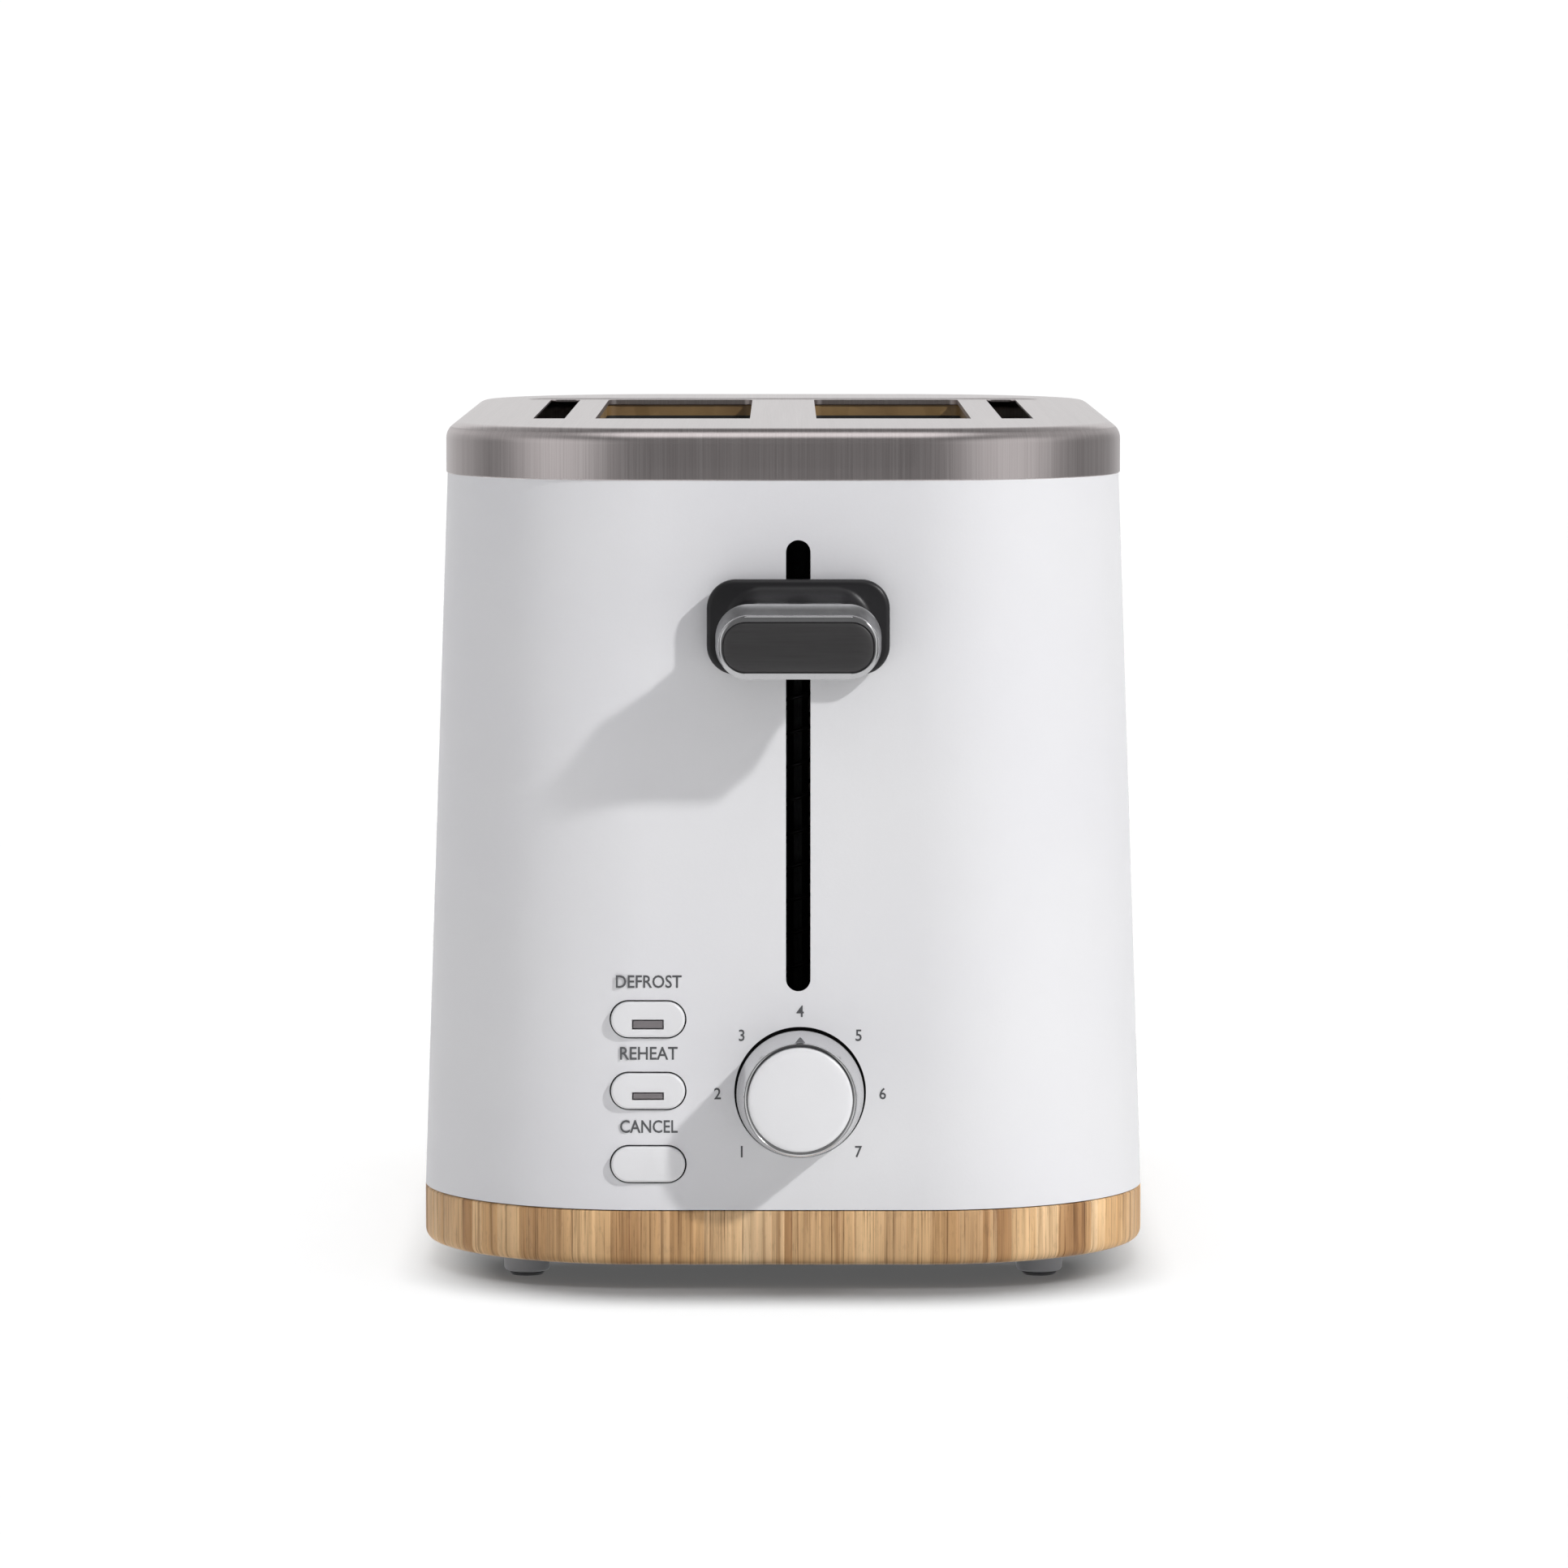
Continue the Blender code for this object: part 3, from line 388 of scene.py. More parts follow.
def micaFinish():
    made = Finish("micaSheet", (0.50, 0.36, 0.17), 0.42, Specular_IOR_Level=0.6)
    flake = made.add("ShaderNodeTexVoronoi", Vector=made.place((300, 300, 180)), Scale=1.0)
    cloud = made.noise((40, 60, 40), 4)
    tone = made.ramp(cloud, (0.25, (0.17, 0.095, 0.033)), (0.55, (0.30, 0.185, 0.070)),
                     (0.8, (0.44, 0.30, 0.13)))
    dapple = made.ramp(flake.outputs["Color"], (0.1, 0.55), (0.9, 1.1))
    made.colour(made.blend(0.35, tone, dapple, "MULTIPLY"))
    made.roughen(flake.outputs["Color"], 0.30, 0.55)
    made.bump(flake.outputs["Distance"], 0.00005, 0.3)
    return made.material


def boardFinish():
    made = Finish("solderMask", (0.03, 0.16, 0.07), 0.4)
    tracks = made.add("ShaderNodeTexBrick", Vector=made.place((170, 170, 170)), Scale=1.0, Mortar_Size=0.06)
    made.colour(made.ramp(tracks.outputs["Fac"], (0.0, (0.02, 0.13, 0.05)), (1.0, (0.06, 0.26, 0.11))))
    made.roughen(made.noise((400, 400, 400), 2), 0.32, 0.48)
    made.bump(tracks.outputs["Fac"], 0.00005, 0.5)
    return made.material


def windingFinish():
    made = Finish("copperWinding", (0.55, 0.25, 0.12), 0.35, 0.8)
    wave = made.add("ShaderNodeTexWave", Vector=made.place((1, 1, 1)), Scale=520.0, Distortion=0.4)
    wave.bands_direction = "Z"
    made.colour(made.ramp(wave.outputs["Fac"], (0.1, (0.22, 0.08, 0.03)), (0.7, (0.62, 0.29, 0.13))))
    made.bump(wave.outputs["Fac"], 0.0003, 0.8)
    return made.material


def faceFinish():  # the lever's dark face, very finely brushed across
    made = Finish("leverFace", (0.045, 0.044, 0.045), 0.42, 0.4)
    lines = made.noise((60, 2200, 2200), 3, 0.6)
    made.colour(made.ramp(lines, (0.3, (0.045, 0.043, 0.044)), (0.7, (0.052, 0.051, 0.052))))
    made.roughen(lines, 0.38, 0.46)
    made.bump(lines, 0.00002, 0.3)
    return made.material


whitePaint = paintFinish()
brushedSteel = brushedFinish()
oak = oakFinish()
zincSheet = zincFinish()
micaSheet = micaFinish()
solderMask = boardFinish()
copperWinding = windingFinish()
leverFaceFinish = faceFinish()
satinBlack = mouldedFinish("satinBlack", (0.012, 0.0115, 0.013), 0.36, 1100, 0.00004, 0.15,
                            Specular_IOR_Level=0.3)
deepBlack = mouldedFinish("deepBlack", (0.012, 0.012, 0.012), 0.6, 900, 0.00005, 0.2)
greyMoulding = mouldedFinish("greyMoulding", (0.13, 0.13, 0.135), 0.55, 700, 0.00008, 0.15)
whiteMoulding = mouldedFinish("whiteMoulding", (0.765, 0.765, 0.775), 0.30, 1400, 0.00002, 0.02)
creamMoulding = mouldedFinish("creamMoulding", (0.70, 0.66, 0.54), 0.5)
footPlastic = mouldedFinish("footPlastic", (0.42, 0.43, 0.45), 0.55, 800, 0.00006, 0.1)
padRubber = mouldedFinish("padRubber", (0.035, 0.036, 0.038), 0.75, 700, 0.00008, 0.2)
lensTint = mouldedFinish("lensTint", (0.19, 0.175, 0.18), 0.3, 600, 0.00001, 0.1)
printInk = mouldedFinish("printInk", (0.085, 0.087, 0.092), 0.6, 1800, 0.00001, 0.2)
chromePlate = metalFinish("chromePlate", (0.66, 0.66, 0.67), 0.12, (500, 500, 500), 0.00001, 0.03)
trimSteel = metalFinish("trimSteel", (0.50, 0.50, 0.51), 0.14, (500, 500, 500), 0.00001, 0.03)
gunMetal = metalFinish("gunMetal", (0.30, 0.30, 0.31), 0.33, (900, 900, 900), 0.00001, 0.06)
darkSteel = metalFinish("darkSteel", (0.16, 0.16, 0.165), 0.40)
seatSteel = metalFinish("seatSteel", (0.26, 0.26, 0.27), 0.40)
springSteel = metalFinish("springSteel", (0.09, 0.09, 0.095), 0.38)
brightWire = metalFinish("brightWire", (0.66, 0.64, 0.60), 0.24, (400, 400, 60))
ribbonMetal = metalFinish("ribbonMetal", (0.36, 0.32, 0.28), 0.38)
brassRod = metalFinish("brassRod", (0.70, 0.54, 0.26), 0.28)
print("finishes made:", len(bpy.data.materials))


# painted shell
shellSize = {"sheet": 0.0008, "edge": 0.00018, "slotWidth": 0.0057, "slotLow": 0.0696, "slotHigh": 0.1744,
             "leverX": 0.0035, "dialX": 0.00395, "dialZ": 0.0458, "dialHole": 0.0153, "dialDrop": 0.00025,
             "keyX": -0.0314, "keyHalf": (0.0086, 0.00415), "keyGap": 0.00035, "keyDeep": -0.006,
             "notchHalf": 0.051, "notchFrom": 0.125, "notchTo": 0.145, "notchLow": 0.010, "notchRoom": 0.0006,
             "glandX": -0.024, "glandZ": 0.044, "glandHole": 0.007, "cut": (-0.004, 0.003),
             "levels": (0.05, 0.09, 0.13, 0.16)}
keyHeights = {"defrost": 0.0631, "reheat": 0.0464, "cancel": 0.0293}


def makeShell():
    size = shellSize
    rings = [bodyRing(z, 0, z) for z in (shellLow.z, *size["levels"], shellHigh.z)]
    shell = thicken(fromBmesh("paintedShell", loft(rings, False, False)), size["sheet"])
    middle, half = (size["slotLow"] + size["slotHigh"]) / 2, (size["slotHigh"] - size["slotLow"]) / 2
    end, (deep, out) = size["slotWidth"] / 2, size["cut"]
    tools = [prism("slotTool", outline(end, half, end, 14, (size["leverX"], middle)), deep, out, frontPlace)]
    hole = disc(size["dialHole"], 20, (size["dialX"], size["dialZ"] + size["dialDrop"]))
    tools.append(prism("dialTool", hole, deep, out, frontPlace))
    for name, height in keyHeights.items():
        halfX, halfY = (side + size["keyGap"] for side in size["keyHalf"])
        pill = outline(halfX, halfY, halfY * 0.9999, 12, (size["keyX"], height))
        tools.append(prism(name + "Tool", pill, size["keyDeep"], out, frontPlace))
    outlet = disc(size["glandHole"], 12, (-size["glandX"], size["glandZ"]))
    tools.append(prism("glandTool", outlet, deep, out, rearPlace))
    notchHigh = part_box("crumb_tray_handle")[1].z + size["notchRoom"]
    notch = block((-size["notchHalf"], midY + size["notchFrom"], size["notchLow"]),
                  (size["notchHalf"], midY + size["notchTo"], notchHigh))
    tools.append(fromBmesh("notchTool", notch))
    shape(shell, "DIFFERENCE", *tools)
    soften(shell, size["edge"])
    return fit(shell, "root", whitePaint, "white_paint", "body_shell")


# steel lid
lidSize = {"overhang": 0.0003, "round": 0.0038, "sheet": 0.0008, "edge": 0.00045, "slotX": 0.02665,
           "slotY": 0.015, "slotHalf": (0.01865, 0.075), "slotCorner": 0.0025, "lipCorner": 0.0033,
           "lipDepth": 0.0015, "ventX": 0.0565, "ventHalf": (0.0038, 0.075), "ventCorner": 0.0015,
           "panelHalf": (0.0655, 0.0785), "panelCorner": 0.006, "panelDepth": 0.00028, "panelSlope": 0.0022,
           "shield": (0.1884, 0.1958, 0.1986), "shieldWall": 0.0013, "shieldGap": 0.0005, "cut": (0.18, 0.21)}


def makeLid():
    size, over = lidSize, lidSize["overhang"]
    rings = [bodyRing(lidLow.z, over - 0.0003, lidLow.z), bodyRing(lidLow.z, over, lidLow.z + 0.0003)]
    for across, up in quarterTurn(12):
        rings.append(bodyRing(lidLow.z, over - size["round"] * across, lidHigh.z - size["round"] * (1 - up)))
    lid = thicken(fromBmesh("steelLid", loft(rings, bottom=False)), size["sheet"])
    centreY = midY + size["slotY"]
    halfX, halfY = size["panelHalf"]
    panel = [(z, halfX + grow, halfY + grow, size["panelCorner"] + grow, 0)
             for z, grow in ((lidHigh.z - size["panelDepth"], 0), (lidHigh.z + 0.0005, size["panelSlope"]))]
    shape(lid, "DIFFERENCE", fromBmesh("panelTool", bar(panel, (0, centreY), 6)))
    lips, cuts = [], []
    for side in (-1, 1):
        halfX, halfY = size["slotHalf"]
        place, wall = (side * size["slotX"], centreY), size["sheet"]
        lip = outline(halfX + wall, halfY + wall, size["lipCorner"], 6, place)
        lips.append(prism("lipTool", lip, lidHigh.z - size["lipDepth"], lidHigh.z - 0.0006))
        cuts.append(prism("slotTool", outline(halfX, halfY, size["slotCorner"], 6, place), *size["cut"]))
        vent = outline(*size["ventHalf"], size["ventCorner"], 5, (side * size["ventX"], centreY))
        cuts.append(prism("ventTool", vent, *size["cut"]))
    shape(lid, "UNION", *lips)
    shape(lid, "DIFFERENCE", *cuts)
    soften(lid, size["edge"], 50)
    brushMap(lid)
    foot, seam, head = size["shield"]
    halfX, halfY = size["slotHalf"]
    wall, gap = size["shieldWall"], size["shieldGap"]
    for side, hand in ((-1, "Left"), (1, "Right")):  # frames lining the slots under the lid: mica, and under it a black frame that is painted shade deeper in the slot
        place = (side * size["slotX"], centreY)
        for name, low, high, material in (("slotShield", seam, head, micaSheet),
                                          # the lower black frame is painted shade: a dark sheet set where the
                                          # slot is only in shadow
                                          ("slotFrame", foot, seam, deepBlack)):
            outside = outline(halfX + wall, halfY + wall, size["lipCorner"] + 0.0003, 6, place)
            inside = outline(halfX + gap, halfY + gap, size["slotCorner"] + 0.0003, 6, place)
            shield = prism(name + hand, outside, low, high)
            fit(shape(shield, "DIFFERENCE", prism("bore", inside, *size["cut"])), "root", material, "mica")
    return fit(lid, "root", brushedSteel, "brushed_steel", "top_cover")


def brushMap(obj):  # u across the brushing, v along it: upright on the rim, lengthwise on the top
    mesh = obj.data
    layer = mesh.uv_layers.new(name="brush")
    for face in mesh.polygons:
        flat = abs(face.normal.z) > 0.7
        points = [mesh.vertices[mesh.loops[k].vertex_index].co for k in face.loop_indices]
        around = [co.x if flat else girth(co.x, co.y) for co in points]
        if max(around) - min(around) > 0.3:  # a face across the seam
            around = [value + 0.8 if value < 0 else value for value in around]
        for k, value, co in zip(face.loop_indices, around, points):
            layer.data[k].uv = (value, co.y if flat else co.z)


# oak band, in narrow upright staves
bandSize = {"wall": 0.006, "staveLow": 0.0014, "staveHigh": 0.0070, "groove": 0.00006, "grooveWidth": 0.00022,
            "stripWidth": 0.0016, "foot": 0.0024, "footInset": 0.0016, "seed": 11}


def bandPoint(distance, inset, z):  # a point on the band's outline, from the distance round it
    radius = bodyShape["cornerRadius"]
    flatX, flatY = halfWidth - radius, halfLength - radius
    arc = ("arc", radius * math.pi / 2)
    runs = [("flat", flatY * 2), arc, ("flat", flatX * 2), arc] * 2
    position, heading = Vector((halfWidth - inset, midY - flatY)), 90
    corners = [(flatX, flatY), (-flatX, flatY), (-flatX, -flatY), (flatX, -flatY)]
    turn = 0
    for kind, length in runs:
        walked = min(distance, length)
        if kind == "arc":
            centre = Vector((corners[turn][0], midY + corners[turn][1]))
            angle = math.radians(heading - 90 + walked / length * 90)
            position = centre + (radius - inset) * Vector((math.cos(angle), math.sin(angle)))
            heading += 90
            turn += 1
        else:
            angle = math.radians(heading)
            position = position + walked * Vector((math.cos(angle), math.sin(angle)))
        if distance <= length:
            break
        distance -= length
    return (position.x, position.y, z)


def makeBand():
    size, draw = bandSize, random.Random(bandSize["seed"])
    radius = bodyShape["cornerRadius"]
    whole = 4 * (halfWidth + halfLength - 2 * radius) + 2 * math.pi * radius
    low, high = bandLow.z, bandHigh.z
    rows = [(low, size["wall"]), (low, size["footInset"] + 0.0004)]  # height and inset, round the section
    for across, up in quarterTurn(6):  # the rounded foot edge
        rows.append((low + 0.0002 + size["foot"] * across, size["footInset"] * (1 - up)))
    rows += [(high - 0.00035, 0), (high, 0.0003), (high, size["wall"])]
    stations, distance = [], 0.0
    while distance < whole - 1e-6:
        width = min(draw.uniform(size["staveLow"], size["staveHigh"]), whole - distance)
        if whole - distance - width < size["staveLow"]:
            width = whole - distance
        tone, cut = draw.betavariate(2.6, 2.0), size["grooveWidth"]
        inner = max(2, int(width / size["stripWidth"]) + 1)
        spots = [distance] + [distance + cut / 2 + (width - cut) * k / inner for k in range(inner + 1)]
        for k, spot in enumerate(spots):
            stations.append((spot, size["groove"] if k == 0 else 0.0, tone))
        distance += width
    bm = bmesh.new()
    layer = bm.verts.layers.float.new("staveTone")
    grid = []
    for spot, groove, tone in stations:
        column = []
        for row, (z, inset) in enumerate(rows):
            deeper = groove if 1 < row < len(rows) - 1 else 0
            vert = bm.verts.new(bandPoint(spot, inset + deeper, z))
            vert[layer] = tone
            column.append(vert)
        grid.append((spot, column))
    uv = bm.loops.layers.uv.new("grain")
    count = len(rows)
    for k, (spot, column) in enumerate(grid):
        nextSpot, following = grid[(k + 1) % len(grid)]
        if nextSpot < spot:
            nextSpot += whole
        for row in range(count):
            above = (row + 1) % count
            face = bm.faces.new((column[row], following[row], following[above], column[above]))
            corners = ((spot, row), (nextSpot, row), (nextSpot, above), (spot, above))
            for loop, (along, level) in zip(face.loops, corners):
                loop[uv].uv = (along, rows[level][0] + rows[level][1])
    bmesh.ops.recalc_face_normals(bm, faces=bm.faces)
    mesh = bpy.data.meshes.new("oakBand")
    bm.to_mesh(mesh)
    bm.free()
    shade(mesh, 38)
    return fit(toObject("oakBand", mesh), "root", oak, "timber", "wood_band")


makeShell()
makeLid()
makeBand()
print("casing made")


# lever
leverSize = {  # sections: height off the face, half width, half height, corner, shift upwards
    "centre": (0.0035, 0.1545), "socketRoom": 0.0004, "shift": -0.00385,
    "grip": [(0.0021, 0.0203, 0.0101, 0.0059, 0), (0.0024, 0.0208, 0.0106, 0.0064, 0),
             (0.0029, 0.02112, 0.01097, 0.0067, 0), (0.0036, 0.02115, 0.0110, 0.0067, 0),
             (0.0054, 0.02115, 0.0110, 0.0067, 0), (0.0060, 0.0210, 0.01085, 0.0066, 0),
             (0.0063, 0.0207, 0.01055, 0.0064, 0), (0.0065, 0.0202, 0.0100, 0.0061, 0),
             (0.0066, 0.0172, 0.0091, 0.0084, 0.0003), (0.0070, 0.0164, 0.0088, 0.0082, 0.0001),
             (0.0080, 0.0157, 0.0084, 0.0078, -0.0004), (0.0098, 0.0153, 0.0081, 0.0075, -0.0010),
             (0.0122, 0.0152, 0.0078, 0.0072, -0.0015), (0.0150, 0.0157, 0.0077, 0.0071, -0.0019),
             (0.0156, 0.0157, 0.0077, 0.0071, -0.0019)],
    "head": [(0.0148, 0.0154, 0.0074, 0.0069, -0.0019), (0.0150, 0.0158, 0.0078, 0.0072, -0.0019),
             (0.0163, 0.0162, 0.00775, 0.0071, -0.0021), (0.0176, 0.0168, 0.0078, 0.0070, -0.0023),
             (0.0197, 0.0179, 0.0080, 0.0069, -0.0026), (0.0210, 0.0185, 0.0082, 0.0072, -0.0027),
             (0.0217, 0.0188, 0.0084, 0.0075, -0.0027), (0.0220, 0.0190, 0.0086, 0.0076, -0.0027),
             (0.0224, 0.0190, 0.0086, 0.0076, -0.0027), (0.0227, 0.0188, 0.0083, 0.0074, -0.0028),
             (0.0242, 0.0185, 0.0077, 0.0070, -0.0032), (0.0256, 0.0182, 0.0071, 0.0065, -0.0037),
             (0.0257, 0.0170, 0.0054, 0.0050, -0.0037)],
    "trim": [(0.0256, 0.0181, 0.0070, 0.0064, -0.0038), (0.0258, 0.0183, 0.0073, 0.0067, -0.0038),
             (0.0262, 0.0184, 0.00735, 0.0067, -0.0038), (0.0267, 0.0182, 0.00695, 0.0064, -0.00365),
             (0.0270, 0.0179, 0.00655, 0.0060, -0.00345), (0.0271, 0.0176, 0.00585, 0.0054, -0.00365)],
    "trimBore": (0.01745, 0.0059, 0.0054), "trimEdge": 0.00012,
    "face": (0.0257, 0.0172, 0.00565, 0.0051), "faceEdge": (0.0266, 0.0173, 0.00575, 0.0052),
    "faceRound": 0.0050, "faceDome": 0.0007,
}


def makeLever():
    size, centre, shift = leverSize, leverSize["centre"], leverSize["shift"]
    grip = fromBmesh("leverGrip", bar(size["grip"], centre, 12), frontPlace, 45)
    armLow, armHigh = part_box("carriage_arm")
    room = Vector((size["socketRoom"],) * 3)
    shape(grip, "DIFFERENCE", fromBmesh("socketTool", block(armLow - room, armHigh + room)))
    fit(grip, "carriage", satinBlack, "black_plastic", "lever_grip")
    head = fromBmesh("leverHead", bar(size["head"], centre, 14), frontPlace, 45)
    fit(head, "carriage", gunMetal, "charcoal")
    trim = fromBmesh("leverTrim", bar(size["trim"], centre, 14), frontPlace, 50)
    bore = outline(*size["trimBore"], 14, (centre[0], centre[1] + shift))
    shape(trim, "DIFFERENCE", prism("boreTool", bore, 0.02, 0.03, frontPlace))
    soften(trim, size["trimEdge"], 60)
    fit(trim, "carriage", trimSteel, "chrome", "lever_trim")
    rim, halfX, halfY, corner = size["faceEdge"]
    plate = [(*size["face"], shift)]
    for across, up in quarterTurn(7):
        inset = size["faceRound"] * across
        plate.append((rim + size["faceDome"] * up, halfX - inset, halfY - inset, corner - inset, shift))
    face = fromBmesh("leverFace", bar(plate, centre, 14), frontPlace, 60)
    fit(face, "carriage", leverFaceFinish, "charcoal", "lever_face")


# dial
dialSize = {  # profiles: radius, height off the face
    "centre": (0.00395, 0.0458), "steps": 96, "well": 0.0121, "wellRise": 0.00075,
    "skirt": [(0.0034, 0.0152), (0.01260, 0.0152), (0.01275, 0.0153), (0.01300, 0.01525), (0.01315, 0.0150),
              (0.01325, 0.0144), (0.0136, 0.0112), (0.0140, 0.0076), (0.0144, 0.0038), (0.0146, 0.0024),
              (0.0148, 0.0016), (0.01485, 0.0008), (0.01485, -0.0006), (0.0147, -0.0008), (0.0139, -0.0008),
              (0.0122, 0.0090), (0.0065, 0.0090), (0.0065, -0.0020), (0.0034, -0.0020)],
    "seat": [(0.0034, 0.0127), (0.0122, 0.0127), (0.0122, 0.0129), (0.0120, 0.0131), (0.0034, 0.0131)],
    "cap": [(0, 0.01600), (0.003, 0.01599), (0.006, 0.01594), (0.0086, 0.01585), (0.0107, 0.01573),
            (0.0116, 0.01560), (0.0119, 0.01543), (0.01207, 0.0152), (0.0121, 0.0149), (0.0121, 0.0128),
            (0, 0.0128)],
    "pointerTop": 0.0143, "pointerLong": 0.0056, "pointerHalf": 0.0010, "pointerDeep": 0.00025,
    "pointerTip": 0.00003, "skirtTop": (0.01325, 0.0144), "skirtSlope": 0.109,
}


def makeDial():
    size, centre, steps = dialSize, dialSize["centre"], dialSize["steps"]
    body = fromBmesh("dialSkirt", turned(size["skirt"], centre, steps, True), frontPlace, 40)
    raised = (centre[0], centre[1] + size["wellRise"])  # the well sits a little high
    bore = prism("bore", disc(size["well"], 24, raised), 0.0128, 0.02, frontPlace)
    shape(body, "DIFFERENCE", bore)
    fit(body, "dial", chromePlate, "chrome", "dial_skirt")
    seat = fromBmesh("dialWell", turned(size["seat"], raised, steps, True), frontPlace)
    fit(seat, "dial", seatSteel, "charcoal")
    rings, tip, (topReach, topZ) = [], size["pointerTip"], size["skirtTop"]
    for share in (step / 8 for step in range(9)):  # the pointer narrows along the skirt, away from the rim
        z = size["pointerTop"] - size["pointerLong"] * share
        reach = topReach + (topZ - z) * size["skirtSlope"]
        across = [size["pointerHalf"] * (1 - share) * k / 4 + tip * k for k in range(-4, 5)]
        outer = [(centre[0] + x, centre[1] + math.sqrt(reach ** 2 - x ** 2) + tip, z) for x in across]
        rings.append(outer + [(x, y - size["pointerDeep"], z) for x, y, z in reversed(outer)])
    fit(fromBmesh("dialPointer", loft(rings), frontPlace), "dial", printInk, "charcoal")
    cover = fromBmesh("dialCap", turned(size["cap"], centre, steps), frontPlace, 40)
    fit(cover, "dial", whiteMoulding, "white_plastic", "dial_cap")


# keys
keySize = {"proud": 0.0012, "round": 0.0007, "foot": -0.0028, "stemHalf": 0.0015, "stem": (-0.0161, -0.002),
           "lensWide": 0.0034, "lensTall": {"defrost": 0.00085, "reheat": 0.0006}, "lensDrop": 0.0011,
           "lensGap": 0.0003, "lensProud": 0.00135}


def makeKeys():
    size, proud, edge = keySize, keySize["proud"], keySize["round"]
    halfX, halfY = shellSize["keyHalf"]
    for name, height in keyHeights.items():
        x = shellSize["keyX"]
        steps = [(size["foot"], 0)]
        steps += [(proud - edge * (1 - up) - 0.0001, edge * across) for across, up in quarterTurn(6)]
        steps += [(proud - 0.00003, 0.0022), (proud, 0.0036)]
        pill = [(z, halfX - inset, halfY - inset, (halfY - inset) * 0.999, 0) for z, inset in steps]
        key = fromBmesh(name + "Key", bar(pill, (x, height), 12), frontPlace, 40)
        half, (stemLow, stemHigh) = size["stemHalf"], size["stem"]
        stem = block((x - half, height - half, stemLow), (x + half, height + half, stemHigh))
        shape(key, "UNION", fromBmesh("stem", stem, frontPlace))
        if name in size["lensTall"]:
            wide, tall, gap = size["lensWide"], size["lensTall"][name], size["lensGap"]
            lensY = height - size["lensDrop"]
            window = block((x - wide - gap, lensY - tall - gap, -0.001),
                           (x + wide + gap, lensY + tall + gap, 0.003))
            shape(key, "DIFFERENCE", fromBmesh("windowTool", window, frontPlace))
            slab = [(-0.0007, wide, tall, 0.0002, 0), (size["lensProud"] - 0.00015, wide, tall, 0.0002, 0),
                    (size["lensProud"], wide - 0.00012, tall - 0.00012, 0.00015, 0)]
            lens = fromBmesh(name + "Lens", bar(slab, (x, lensY), 4), frontPlace, 40)
            fit(lens, name + "_key", lensTint, "lens_grey", name + "_lens")
        fit(key, name + "_key", whiteMoulding, "white_plastic", name + "_button")


# print on the shell: plain function words and dial numbers
printSize = {"bold": 0.012, "thick": 0.00004, "lift": 0.00003, "narrow": 0.92, "wordTall": 0.0030,
             "wordWidth": {"defrost": 0.0153, "reheat": 0.0134, "cancel": 0.0134}, "wordRise": 0.0088,
             "numberRing": 0.0192, "numberTall": 0.0027, "numberStart": 225, "numberStep": 45}


def lettering(text, centre, tall, width=None):
    size = printSize
    data = bpy.data.curves.new(text, "FONT")
    data.body, data.size, data.align_x, data.align_y = text, 1.0, "CENTER", "CENTER"
    data.resolution_u, data.offset, data.fill_mode = 3, size["bold"], "BOTH"
    obj = bpy.data.objects.new(text, data)
    bpy.context.scene.collection.objects.link(obj)
    mesh = evaluatedMesh(obj)
    bpy.data.objects.remove(obj)
    xs, ys = [v.co.x for v in mesh.vertices], [v.co.y for v in mesh.vertices]
    scaleY = tall / (max(ys) - min(ys))
    scaleX = width / (max(xs) - min(xs)) if width else scaleY * size["narrow"]
    middle = Vector(((max(xs) + min(xs)) / 2, (max(ys) + min(ys)) / 2, 0))
    mesh.transform(Matrix.Translation((*centre, size["lift"])) @ Matrix.Diagonal((scaleX, scaleY, 1, 1))
                   @ Matrix.Translation(-middle))
    bm = bmesh.new()
    bm.from_mesh(mesh)
    bpy.data.meshes.remove(mesh)
    bmesh.ops.remove_doubles(bm, verts=bm.verts, dist=1e-6)
    raised = bmesh.ops.extrude_face_region(bm, geom=list(bm.faces), use_keep_orig=True)["geom"]
    bmesh.ops.translate(bm, vec=(0, 0, size["thick"]),
                        verts=[v for v in raised if isinstance(v, bmesh.types.BMVert)])
    return bm


def makePrint():
    size = printSize
    for name, height in keyHeights.items():
        centre = (shellSize["keyX"] + 0.0002, height + size["wordRise"])
        word = lettering(name.upper(), centre, size["wordTall"], size["wordWidth"][name])
        fit(fromBmesh(name + "Word", word, frontPlace), "root", printInk, "charcoal")
    (x, y), reach = dialSize["centre"], size["numberRing"]
    for number in range(1, 8):
        angle = math.radians(size["numberStart"] - size["numberStep"] * (number - 1))
        centre = (x + reach * math.cos(angle), y + reach * math.sin(angle))
        mark = lettering(str(number), centre, size["numberTall"])
        fit(fromBmesh(f"dialNumber{number}", mark, frontPlace), "root", printInk, "charcoal")


makeLever()
makeDial()
makeKeys()
makePrint()
print("controls made")


# feet: a cup and a rubber pad, each profile as inset from the rim and height off the floor
footSize = {"cup": [(0.0002, 0.0017), (0.0005, 0.0012), (0.0011, 0.00095), (0.0017, 0.0009),
                    (0.0017, 0.0020)],
            "cupRoof": 0.0020, "cupEdge": 0.0002, "padRoof": 0.0019,
            "pad": [(0.0018, 0.0019), (0.0018, 0.0009), (0.0015, 0.0007), (0.0017, 0.0003), (0.0020, 0),
                    (0.0027, 0), (0.0030, 0.0004), (0.0035, 0.0004), (0.0038, 0)],
            "padCentre": [(0.0010, 0), (0.0007, 0.0004), (0, 0.0004)], "steps": 40}


